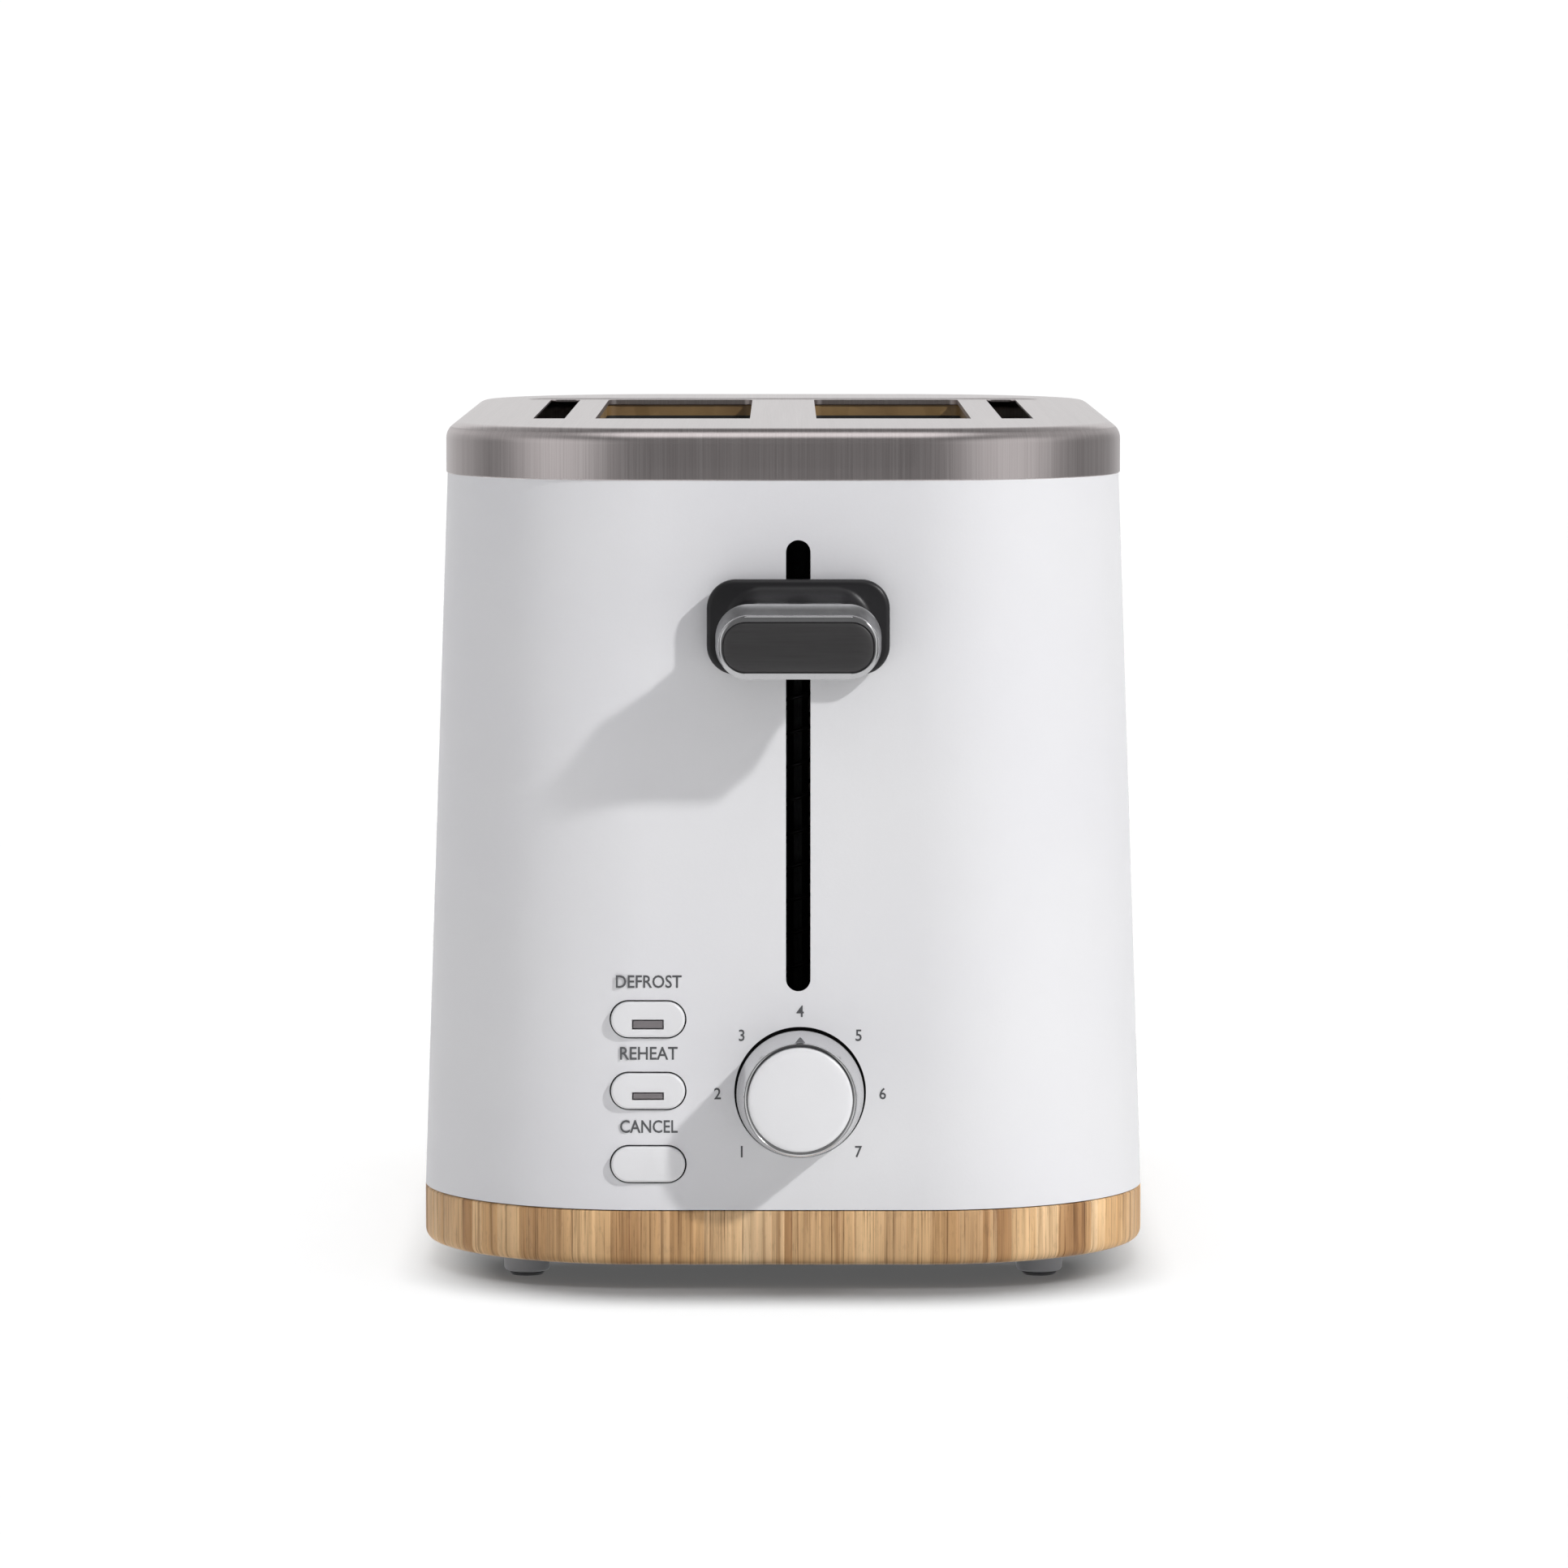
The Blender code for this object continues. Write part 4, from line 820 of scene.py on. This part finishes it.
def makeFeet():
    size, edge = footSize, footSize["cupEdge"]
    for place in ("front_left", "front_right", "rear_left", "rear_right"):
        low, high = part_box("foot_" + place)
        centre, reach = centreOf(low, high), (high.x - low.x) / 2
        cup = [(0, high.z), (reach - edge, high.z), (reach, high.z - edge)]
        cup += [(reach - inset, z) for inset, z in size["cup"]] + [(0, size["cupRoof"])]
        fit(fromBmesh("footCup" + titled(place), turned(cup, centre, size["steps"])), "root", footPlastic,
            "foot_rubber", "foot_" + place)
        pad = [(0, size["padRoof"])] + [(reach - inset, z) for inset, z in size["pad"]] + size["padCentre"]
        fit(fromBmesh("footPad" + titled(place), turned(pad, centre, size["steps"])), "root", padRubber,
            "foot_rubber")


# base screws: round heads with a cross
screwSize = {"head": [(0.0016, 0.0063), (0.0031, 0.0063), (0.0033, 0.0061), (0.0032, 0.0053),
                      (0.0028, 0.0048)],
             "shank": [(0, 0), (0.0008, 0.0003), (0.0016, 0.0014)], "crown": 0.0018,
             "crossLong": 0.0017, "crossWide": 0.00035, "crossDeep": 0.0011}


def makeScrews():
    size, long, wide = screwSize, screwSize["crossLong"], screwSize["crossWide"]
    for number in range(1, 5):
        node = f"base_screw_{number}"
        low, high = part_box(node)
        centre = centreOf(low, high)
        profile = [(radius, high.z - down) for radius, down in size["shank"]] + size["head"]
        profile += [(size["crown"], low.z), (0, low.z)]
        screw = fromBmesh(f"baseScrew{number}", turned(profile, centre, 32))
        tools = [fromBmesh("cross", block((centre[0] - halfX, centre[1] - halfY, low.z - 0.001),
                                          (centre[0] + halfX, centre[1] + halfY, low.z + size["crossDeep"])))
                 for halfX, halfY in ((long, wide), (wide, long))]
        fit(shape(screw, "DIFFERENCE", *tools), "root", darkSteel, "dark_steel", node)


# cord outlet: a ribbed grommet
glandSize = {"steps": 64, "profile": [
    (0.0037, 0.0046), (0.0058, 0.0046), (0.0062, 0.0043), (0.0068, 0.0039), (0.0068, 0.0035),
    (0.0074, 0.0035), (0.0079, 0.0031), (0.0079, 0.0027), (0.0086, 0.0026), (0.0092, 0.0020),
    (0.0094, 0.0015), (0.0094, 0.0006), (0.0092, 0.00035), (0.0066, 0.00035), (0.0066, -0.0012),
    (0.0085, -0.0012), (0.0085, -0.0038), (0.0037, -0.0038)]}


def makeGland():
    centre = (-shellSize["glandX"], shellSize["glandZ"])
    gland = turned(glandSize["profile"], centre, glandSize["steps"], True)
    fit(fromBmesh("cordGland", gland, rearPlace), "root", satinBlack, "black_plastic", "cord_gland")


# crumb tray: pressed sheet with a rolled rim and stiffening beads
traySize = {"radius": 0.004, "wall": 0.0007, "beads": 6, "beadHalf": (0.040, 0.0022), "beadCorner": 0.0021}


def makeTray():
    low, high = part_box("crumb_tray")
    middle, half = (low.y + high.y) / 2, (high.y - low.y) / 2
    wall, radius = traySize["wall"], traySize["radius"]
    under = [(0, 0.0016), (0.0004, 0.0008), (0.0012, 0.0004)]  # up from the underside, inset
    rim = [(0.0014, 0.0002), (0.0010, 0), (0.0003, 0), (0, 0.0003), (0, 0.0011), (0.0003, 0.0014),
           (0.0009, 0.0014), (0.0012, 0.0004 + wall)]  # down from the rim, inset
    inside = [(0.0016, 0.0005 + wall), (wall, 0.0020)]
    levels = [(low.z + up, inset) for up, inset in under] + [(high.z - down, inset) for down, inset in rim]
    levels += [(low.z + up, inset) for up, inset in inside]
    rings = [[(x, y, z) for x, y in outline(high.x - inset, half - inset, radius, 8, (0, middle))]
             for z, inset in levels]
    tray = fromBmesh("crumbTray", loft(rings), None, 30)
    (halfX, halfY), corner = traySize["beadHalf"], traySize["beadCorner"]
    ridge = [(low.z + up, halfX - inset, halfY - inset, corner - inset, 0)
             for up, inset in ((0.0003, 0), (wall, 0), (wall + 0.0005, 0.0012), (wall + 0.0006, 0.0017))]
    beads, step = [], 2 * half / (traySize["beads"] + 1)
    for k in range(traySize["beads"]):
        beads.append(fromBmesh("bead", bar(ridge, (0, middle - half + step * (k + 1)), 6)))
    shape(tray, "UNION", *beads)
    fit(tray, "tray", zincSheet, "zinc_steel", "crumb_tray")


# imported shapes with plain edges, copied and given their moulded or pressed edges
def refine(name, node, body, material, slot, width):
    bm = bmesh.new()
    bm.from_mesh(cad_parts[node].data)
    bmesh.ops.remove_doubles(bm, verts=bm.verts, dist=1e-6)
    bmesh.ops.dissolve_limit(bm, angle_limit=math.radians(1), verts=bm.verts, edges=bm.edges)
    piece = fromBmesh(name, bm)
    soften(piece, width, 50)
    return fit(piece, body, material, slot, node)


# geometry-node trees for what repeats
class Tree:  # named inputs, then nodes, then one plain mesh
    kinds = {float: "NodeSocketFloat", int: "NodeSocketInt"}

    def __init__(self, name, **sizes):
        self.group = bpy.data.node_groups.new(name, "GeometryNodeTree")
        self.sizes, face = sizes, self.group.interface
        for key, value in sizes.items():
            face.new_socket(name=key, in_out="INPUT", socket_type=self.kinds[type(value)])
        face.new_socket(name="Geometry", in_out="OUTPUT", socket_type="NodeSocketGeometry")
        self.start = self.group.nodes.new("NodeGroupInput")

    def put(self, value, socket):
        if isinstance(value, str):
            value = self.start.outputs[value]
        if isinstance(value, bpy.types.NodeSocket):
            self.group.links.new(value, socket)
        else:
            socket.default_value = value

    def add(self, kind, *inputs, **settings):  # inputs are pairs of socket and value
        node = self.group.nodes.new(kind)
        for key, value in settings.items():
            setattr(node, key, value)
        for socket, value in inputs:
            self.put(value, node.inputs[socket])
        return node

    def maths(self, operation, first, second):
        return self.add("ShaderNodeMath", (0, first), (1, second), operation=operation).outputs[0]

    def vector(self, x=0.0, y=0.0, z=0.0):
        return self.add("ShaderNodeCombineXYZ", (0, x), (1, y), (2, z)).outputs[0]

    def wire(self, first, last, radius, sides=8):
        line = self.add("GeometryNodeCurvePrimitiveLine", ("Start", first), ("End", last))
        ring = self.add("GeometryNodeCurvePrimitiveCircle", ("Resolution", sides), ("Radius", radius))
        return self.sweep(line, ring)

    def sweep(self, path, profile, caps=True):
        return self.add("GeometryNodeCurveToMesh", ("Curve", path.outputs[0]),
                        ("Profile Curve", profile.outputs[0]), ("Fill Caps", caps)).outputs[0]

    def repeat(self, thing, count, first, step):
        line = self.add("GeometryNodeMeshLine", ("Count", count), ("Start Location", first), ("Offset", step))
        return self.add("GeometryNodeInstanceOnPoints", ("Points", line.outputs[0]),
                        ("Instance", thing)).outputs[0]

    def make(self, name, material, place, *parts):
        join = self.add("GeometryNodeJoinGeometry")
        for part in parts:
            self.group.links.new(part, join.inputs[0])
        real = self.add("GeometryNodeRealizeInstances", ("Geometry", join.outputs[0]))
        dressed = self.add("GeometryNodeSetMaterial", ("Geometry", real.outputs[0]), ("Material", material))
        end = self.group.nodes.new("NodeGroupOutput")
        self.group.links.new(dressed.outputs[0], end.inputs[0])
        holder = bpy.data.objects.new(name, bpy.data.meshes.new(name))
        bpy.context.scene.collection.objects.link(holder)
        modifier = holder.modifiers.new("Tree", "NODES")
        modifier.node_group = self.group
        for item in self.group.interface.items_tree:
            if item.in_out == "INPUT" and item.name in self.sizes:
                modifier[item.identifier] = self.sizes[item.name]
        mesh = evaluatedMesh(holder)
        bpy.data.objects.remove(holder)
        bm = bmesh.new()
        bm.from_mesh(mesh)
        bpy.data.meshes.remove(mesh)
        return fromBmesh(name, bm, place, 40)


places = ("outer_left", "inner_left", "inner_right", "outer_right")

# bread guards: uprights and crossings between a pivot wire and a top rail
guardSize = {"wire": 0.0007, "bar": 0.001, "uprights": 19, "crossings": 3}
guardRoom = {"ends": 0.005, "crossingEnds": 0.002, "pivotOut": 0.004, "foot": 0.001}


def makeGuards():
    ends, short, out, foot = (guardRoom[key] for key in ("ends", "crossingEnds", "pivotOut", "foot"))
    for place in places:
        low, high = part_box("guard_" + place)
        tree = Tree("guardCage" + titled(place), **guardSize, length=high.y - low.y - 2 * out,
                    height=high.z - low.z - 2 * foot)
        reach = tree.maths("SUBTRACT", "length", 2 * ends)
        pitch = tree.maths("DIVIDE", reach, tree.maths("SUBTRACT", "uprights", 1.0))
        rise = tree.maths("DIVIDE", "height", tree.maths("ADD", "crossings", 1.0))
        upright = tree.wire((0.0, 0.0, 0.0), tree.vector(0.0, 0.0, "height"), "wire")
        cage = tree.repeat(upright, "uprights", (0.0, ends, 0.0), tree.vector(0.0, pitch, 0.0))
        farEnd = tree.vector(0.0, tree.maths("SUBTRACT", "length", short), 0.0)
        thin = tree.wire((0.0, short, 0.0), farEnd, "wire")
        levels = tree.repeat(thin, "crossings", tree.vector(0.0, 0.0, rise), tree.vector(0.0, 0.0, rise))
        pivotEnd = tree.vector(0.0, tree.maths("ADD", "length", out), 0.0)
        pivot = tree.wire((0.0, -out, 0.0), pivotEnd, "bar", 12)
        rail = tree.wire(tree.vector(0.0, 0.0, "height"), tree.vector(0.0, "length", "height"), "bar", 12)
        at = Matrix.Translation(((low.x + high.x) / 2, low.y + out, low.z + foot))
        cage = tree.make("guardCage" + titled(place), brightWire, at, cage, levels, pivot, rail)
        fit(cage, "guard_" + place, brightWire, "bright_wire", "guard_" + place)


# heating ribbons, wound round the mica boards
windingSize = {"turns": 22, "depth": 0.0022, "width": 0.0018, "thick": 0.00022}
windingRoom = {"ends": 0.0002, "foot": 0.001}


def makeWindings():
    ends, foot = windingRoom["ends"], windingRoom["foot"]
    for place in places:
        low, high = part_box("heating_wire_" + place)
        tree = Tree("ribbonWinding" + titled(place), **windingSize, length=high.y - low.y - 2 * ends,
                    height=high.z - low.z - 2 * foot)
        loop = tree.add("GeometryNodeCurvePrimitiveQuadrilateral", (0, "depth"), (1, "length"))
        strip = tree.add("GeometryNodeCurvePrimitiveQuadrilateral", (0, "thick"), (1, "width"))
        pitch = tree.maths("DIVIDE", "height", tree.maths("SUBTRACT", "turns", 1.0))
        turns = tree.repeat(tree.sweep(loop, strip, False), "turns", (0.0, 0.0, 0.0),
                            tree.vector(0.0, 0.0, pitch))
        at = Matrix.Translation((*centreOf(low, high), low.z + foot))
        winding = tree.make("ribbonWinding" + titled(place), ribbonMetal, at, turns)
        fit(winding, "root", ribbonMetal, "nichrome", "heating_wire_" + place)


# bread racks: rungs between two rails, on a blade
rackSize = {"rungs": 12, "pitch": 0.0128, "wire": 0.0008, "thick": 0.0005, "deep": 0.0072}
rackRoom = {"first": 0.022, "side": 0.0009, "top": 0.0009, "bladeDrop": 0.0038}


def makeRacks():
    first, side, top, drop = (rackRoom[key] for key in ("first", "side", "top", "bladeDrop"))
    for hand in ("left", "right"):
        low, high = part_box("bread_rack_" + hand)
        tree = Tree("breadRack" + hand.title(), **rackSize, half=(high.x - low.x) / 2 - side,
                    length=high.y - low.y)
        span = tree.wire(tree.vector(tree.maths("MULTIPLY", "half", -1.0)), tree.vector("half"), "wire")
        rungs = tree.repeat(span, "rungs", (0.0, first, 0.0), tree.vector(0.0, "pitch", 0.0))
        rails = []
        for sign in (-1.0, 1.0):
            x = tree.maths("MULTIPLY", "half", sign)
            reach = tree.maths("MULTIPLY", "pitch", tree.maths("SUBTRACT", "rungs", 1.0))
            last = tree.vector(x, tree.maths("ADD", first, reach))
            rails.append(tree.wire(tree.vector(x, first), last, "wire"))
        strip = tree.add("GeometryNodeCurvePrimitiveQuadrilateral", (0, tree.maths("MULTIPLY", "thick", 2.0)),
                         (1, "deep"))
        spine = tree.add("GeometryNodeCurvePrimitiveLine", ("Start", (0.0, 0.0, 0.0)),
                         ("End", tree.vector(0.0, "length")))
        lowered = tree.add("GeometryNodeTransform", ("Geometry", tree.sweep(spine, strip)),
                           ("Translation", (0.0, 0.0, -drop)))
        at = Matrix.Translation(((low.x + high.x) / 2, low.y, high.z - top))
        rack = tree.make("breadRack" + hand.title(), zincSheet, at, rungs, lowered.outputs[0], *rails)
        fit(rack, "carriage", zincSheet, "zinc_steel", "bread_rack_" + hand)


# lift spring, with closed end coils
springSize = {"wire": 0.0005, "turns": 16, "steps": 20, "sides": 8, "endTurns": 1.25, "endPitch": 2.2}


def makeSpring():
    low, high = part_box("lift_spring")
    size, wire, closed = springSize, springSize["wire"], springSize["endTurns"]
    turns, steps, sides = size["turns"], size["steps"], size["sides"]
    centre, reach = centreOf(low, high), (high.x - low.x) / 2 - wire
    floorZ, topZ = low.z + wire, high.z - wire
    squeezed = size["endPitch"] * wire * closed
    bm, rings = bmesh.new(), []
    for k in range(turns * steps + 1):
        turn = k / steps
        if turn < closed:
            z = floorZ + squeezed * turn / closed
        elif turn > turns - closed:
            z = topZ - squeezed * (turns - turn) / closed
        else:
            loose = topZ - floorZ - 2 * squeezed
            z = floorZ + squeezed + loose * (turn - closed) / (turns - 2 * closed)
        angle = 2 * math.pi * turn
        ring = []
        for side in range(sides):
            around = 2 * math.pi * side / sides
            radius = reach + wire * math.cos(around)
            ring.append(bm.verts.new((centre[0] + radius * math.cos(angle),
                                      centre[1] + radius * math.sin(angle), z + wire * math.sin(around))))
        rings.append(ring)
    for first, second in zip(rings, rings[1:]):
        for k in range(len(first)):
            bm.faces.new((first[k], first[k - 1], second[k - 1], second[k]))
    bm.faces.new(rings[0])
    bm.faces.new(reversed(rings[-1]))
    spring = fromBmesh("liftSpring", bm, None, 60)
    spring.data.materials.append(springSteel)
    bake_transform(spring)
    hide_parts("lift_spring")


makeFeet()
makeScrews()
makeGland()
makeTray()
makeGuards()
makeWindings()
makeRacks()
makeSpring()
for name, node, body, material, slot, width in (
        ("crumbTrayHandle", "crumb_tray_handle", "tray", whiteMoulding, "white_plastic", 0.0010),
        ("basePan", "base_pan", "root", greyMoulding, "grey_plastic", 0.0004),
        ("carriageArm", "carriage_arm", "carriage", zincSheet, "zinc_steel", 0.0004),
        ("carriageSlider", "carriage_slider", "carriage", greyMoulding, "grey_plastic", 0.0005),
        ("carriageBracket", "carriage_bracket", "carriage", zincSheet, "zinc_steel", 0.0002),
        ("keeperPlate", "keeper_plate", "carriage", darkSteel, "dark_steel", 0.0003),
        ("magnetCore", "magnet_core", "root", darkSteel, "dark_steel", 0.0003),
        ("magnetCoil", "magnet_coil", "root", copperWinding, "copper", 0.0012),
        ("mainSwitch", "main_switch", "root", satinBlack, "black_plastic", 0.0004),
        ("terminalBlock", "terminal_block", "root", creamMoulding, "cream_plastic", 0.0005)):
    refine(name, node, body, material, slot, width)
print("works made")

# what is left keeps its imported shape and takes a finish
plainNodes = {
    zincSheet: ["front_bulkhead", "rear_bulkhead", "reflector_left", "reflector_right"],
    darkSteel: ["browning_control", "guide_rod"],
    deepBlack: ["panel_carrier"],
    satinBlack: ["defrost_switch", "reheat_switch", "cancel_switch"],
    micaSheet: ["mica_board_" + place for place in places],
    brassRod: ["dial_shaft"],
    solderMask: ["control_board"],
}
for material, names in plainNodes.items():
    for name in names:
        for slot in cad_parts[name].material_slots:
            slot.link = "OBJECT"
            slot.material = material
print("works finished")


# studio
studio = {"around": 0.215, "ambient": 0.45, "ambientTint": (0.965, 0.955, 1.0),
          "backdrop": (1.02, 1.02, 1.02), "floorLight": 3.4, "floorSpread": 8.2, "floorLean": 6.9,
          "floorSky": 0.4, "skySpread": 56, "floorFill": 0.75, "fillSpread": 30, "floorFade": (2.2, 5.2),
          "keySun": 1.80, "keySpread": 3.0, "keyFrom": (1.30, -1.0, 1.20),
          "rearSun": 0.7, "rearSpread": 25, "rearFrom": (0.0, 1.0, 0.8),
          "camera": (0.0002, -1.9098, 0.2620), "tilt": 0.0810, "lens": 176.45}
gleams = [  # what metal sees: azimuth from the front, elevation, inner and outer half width, strength
    (-54, 8, 9, 35, 0.80), (55, 8, 16, 36, 0.76), (-132, 8, 12, 28, 0.45), (132, 8, 12, 28, 0.20),
    (0, 72, 12, 26, 1.4), (180, 4, 24, 40, 0.72), (140, 38, 10, 28, 0.26), (-140, 38, 10, 28, 0.26),
    (90, 38, 10, 30, 0.32), (-90, 38, 10, 30, 0.32), (0, -90, 55, 82, 0.75)]


def direction(azimuth, elevation):
    az, el = math.radians(azimuth), math.radians(elevation)
    return Vector((math.sin(az) * math.cos(el), -math.cos(az) * math.cos(el), math.sin(el)))


def dome(name, radius, **visible):
    bm = bmesh.new()
    bmesh.ops.create_uvsphere(bm, u_segments=64, v_segments=32, radius=radius)
    obj = fromBmesh(name, bm)
    for ray in ("camera", "diffuse", "glossy", "transmission", "shadow", "volume_scatter"):
        setattr(obj, "visible_" + ray, visible.get(ray, False))
    return obj


def glowing(name, colour, strength):
    material = bpy.data.materials.new(name)
    material.use_nodes = True
    nodes, links = material.node_tree.nodes, material.node_tree.links
    nodes.clear()
    glow, out = nodes.new("ShaderNodeEmission"), nodes.new("ShaderNodeOutputMaterial")
    glow.inputs["Color"].default_value = (*colour, 1)
    glow.inputs["Strength"].default_value = strength
    links.new(glow.outputs[0], out.inputs["Surface"])
    return material, nodes, links, glow


def reflectionDome():
    obj = dome("reflectionDome", 5.0, glossy=True)
    material, nodes, links, glow = glowing("reflections", (1, 1, 1), 1.0)
    place = nodes.new("ShaderNodeTexCoord").outputs["Object"]
    unit = nodes.new("ShaderNodeVectorMath")
    unit.operation = "NORMALIZE"
    links.new(place, unit.inputs[0])
    total = None
    for azimuth, elevation, inner, outer, strength in gleams:
        dot = nodes.new("ShaderNodeVectorMath")
        dot.operation = "DOT_PRODUCT"
        links.new(unit.outputs[0], dot.inputs[0])
        dot.inputs[1].default_value = direction(azimuth, elevation)
        fade = nodes.new("ShaderNodeMapRange")
        fade.interpolation_type = "SMOOTHSTEP"
        fade.inputs["From Min"].default_value = math.cos(math.radians(outer))
        fade.inputs["From Max"].default_value = math.cos(math.radians(inner))
        fade.inputs["To Max"].default_value = strength
        links.new(dot.outputs["Value"], fade.inputs["Value"])
        sumNode = nodes.new("ShaderNodeMath")
        links.new(fade.outputs["Result"], sumNode.inputs[0])
        if total is None:
            sumNode.inputs[1].default_value = studio["around"]
        else:
            links.new(total, sumNode.inputs[1])
        total = sumNode.outputs[0]
    links.new(total, glow.inputs["Strength"])
    obj.data.materials.append(material)


def makeStudio():
    scene = bpy.context.scene
    scene.view_settings.view_transform = "Standard"
    world = bpy.data.worlds.new("studioAir")
    world.use_nodes = True
    air = world.node_tree.nodes["Background"].inputs
    air["Color"].default_value, air["Strength"].default_value = (*studio["ambientTint"], 1), studio["ambient"]
    scene.world = world
    backdrop = dome("backdropDome", 6.0, camera=True)
    backdrop.data.materials.append(glowing("backdropGlow", studio["backdrop"], 1.0)[0])
    reflectionDome()
    bm = bmesh.new()
    bmesh.ops.create_grid(bm, x_segments=8, y_segments=8, size=6)
    floor = fromBmesh("studioFloor", bm)
    lit = studio["floorLight"] + studio["floorSky"] + studio["floorFill"]
    light = [studio["ambient"] * tint + lit for tint in studio["ambientTint"]]
    floorTone = tuple(white / part for white, part in zip(studio["backdrop"], light))  # meets the backdrop
    paper = Finish("floorWhite", floorTone, 1.0, Specular_IOR_Level=0.0)
    reach = paper.add("ShaderNodeVectorMath", Vector=paper.nodes.new("ShaderNodeTexCoord").outputs["Object"])
    reach.operation = "LENGTH"
    near, far = studio["floorFade"]  # between these it melts into the backdrop
    melt = paper.add("ShaderNodeMapRange", Value=reach.outputs["Value"], From_Min=near, From_Max=far)
    melt.interpolation_type = "SMOOTHSTEP"
    sheet = paper.nodes.new("ShaderNodeMixShader")
    for end, socket in ((melt.outputs["Result"], sheet.inputs[0]), (paper.shader.outputs[0], sheet.inputs[1]),
                        (paper.nodes.new("ShaderNodeBsdfTransparent").outputs[0], sheet.inputs[2]),
                        (sheet.outputs[0], paper.nodes["Material Output"].inputs["Surface"])):
        paper.links.new(end, socket)
    floor.data.materials.append(paper.material)
    floor.visible_glossy = False
    linked = {}
    for name, members in (("onlyFloor", ("studioFloor",)),
                          ("unsunned", ("studioFloor", "steelLid", "crumbTray")),
                          ("casing", ("steelLid",)),  # what keeps the floor's sun off it
                          ("base", ("oakBand", "basePan", "footCupFrontLeft", "footCupFrontRight"))):
        linked[name] = bpy.data.collections.new(name)
        for member in members:
            linked[name].objects.link(bpy.data.objects[member])
    for link in linked["unsunned"].collection_objects:  # the other suns light all but these
        link.light_linking.link_state = "EXCLUDE"
    tip, up = math.radians(studio["floorLean"]), (0, 0, 1)
    for name, strength, spread, towards, receivers, blockers in (
            ("floorSun", studio["floorLight"] * math.pi / math.cos(tip), studio["floorSpread"],
             (0, math.sin(tip), math.cos(tip)), "onlyFloor", "casing"),
            ("floorSky", studio["floorSky"] * math.pi, studio["skySpread"], up, "onlyFloor", "base"),
            ("floorFill", studio["floorFill"] * math.pi, studio["fillSpread"], up, "onlyFloor", "base"),
            ("rearSun", studio["rearSun"], studio["rearSpread"], studio["rearFrom"], "unsunned", None),
            ("keySun", studio["keySun"], studio["keySpread"], studio["keyFrom"], "unsunned", None)):
        light = bpy.data.lights.new(name, "SUN")
        light.energy, light.angle, light.use_shadow = strength, math.radians(spread), name != "floorFill"
        lamp = bpy.data.objects.new(name, light)
        lamp.rotation_euler = Vector(towards).to_track_quat("Z", "Y").to_euler()
        lamp.light_linking.receiver_collection = linked[receivers]
        if blockers:
            lamp.light_linking.blocker_collection = linked[blockers]
        scene.collection.objects.link(lamp)
    cameraData = bpy.data.cameras.new("viewCamera")
    cameraData.lens, cameraData.sensor_width, cameraData.clip_end = studio["lens"], 36, 50
    camera = bpy.data.objects.new("viewCamera", cameraData)
    x, y, z = studio["camera"]
    camera.location, camera.rotation_euler = (x, midY + y, z), (math.pi / 2 - studio["tilt"], 0, 0)
    scene.collection.objects.link(camera)
    scene.camera = camera


makeStudio()
print("studio lit")
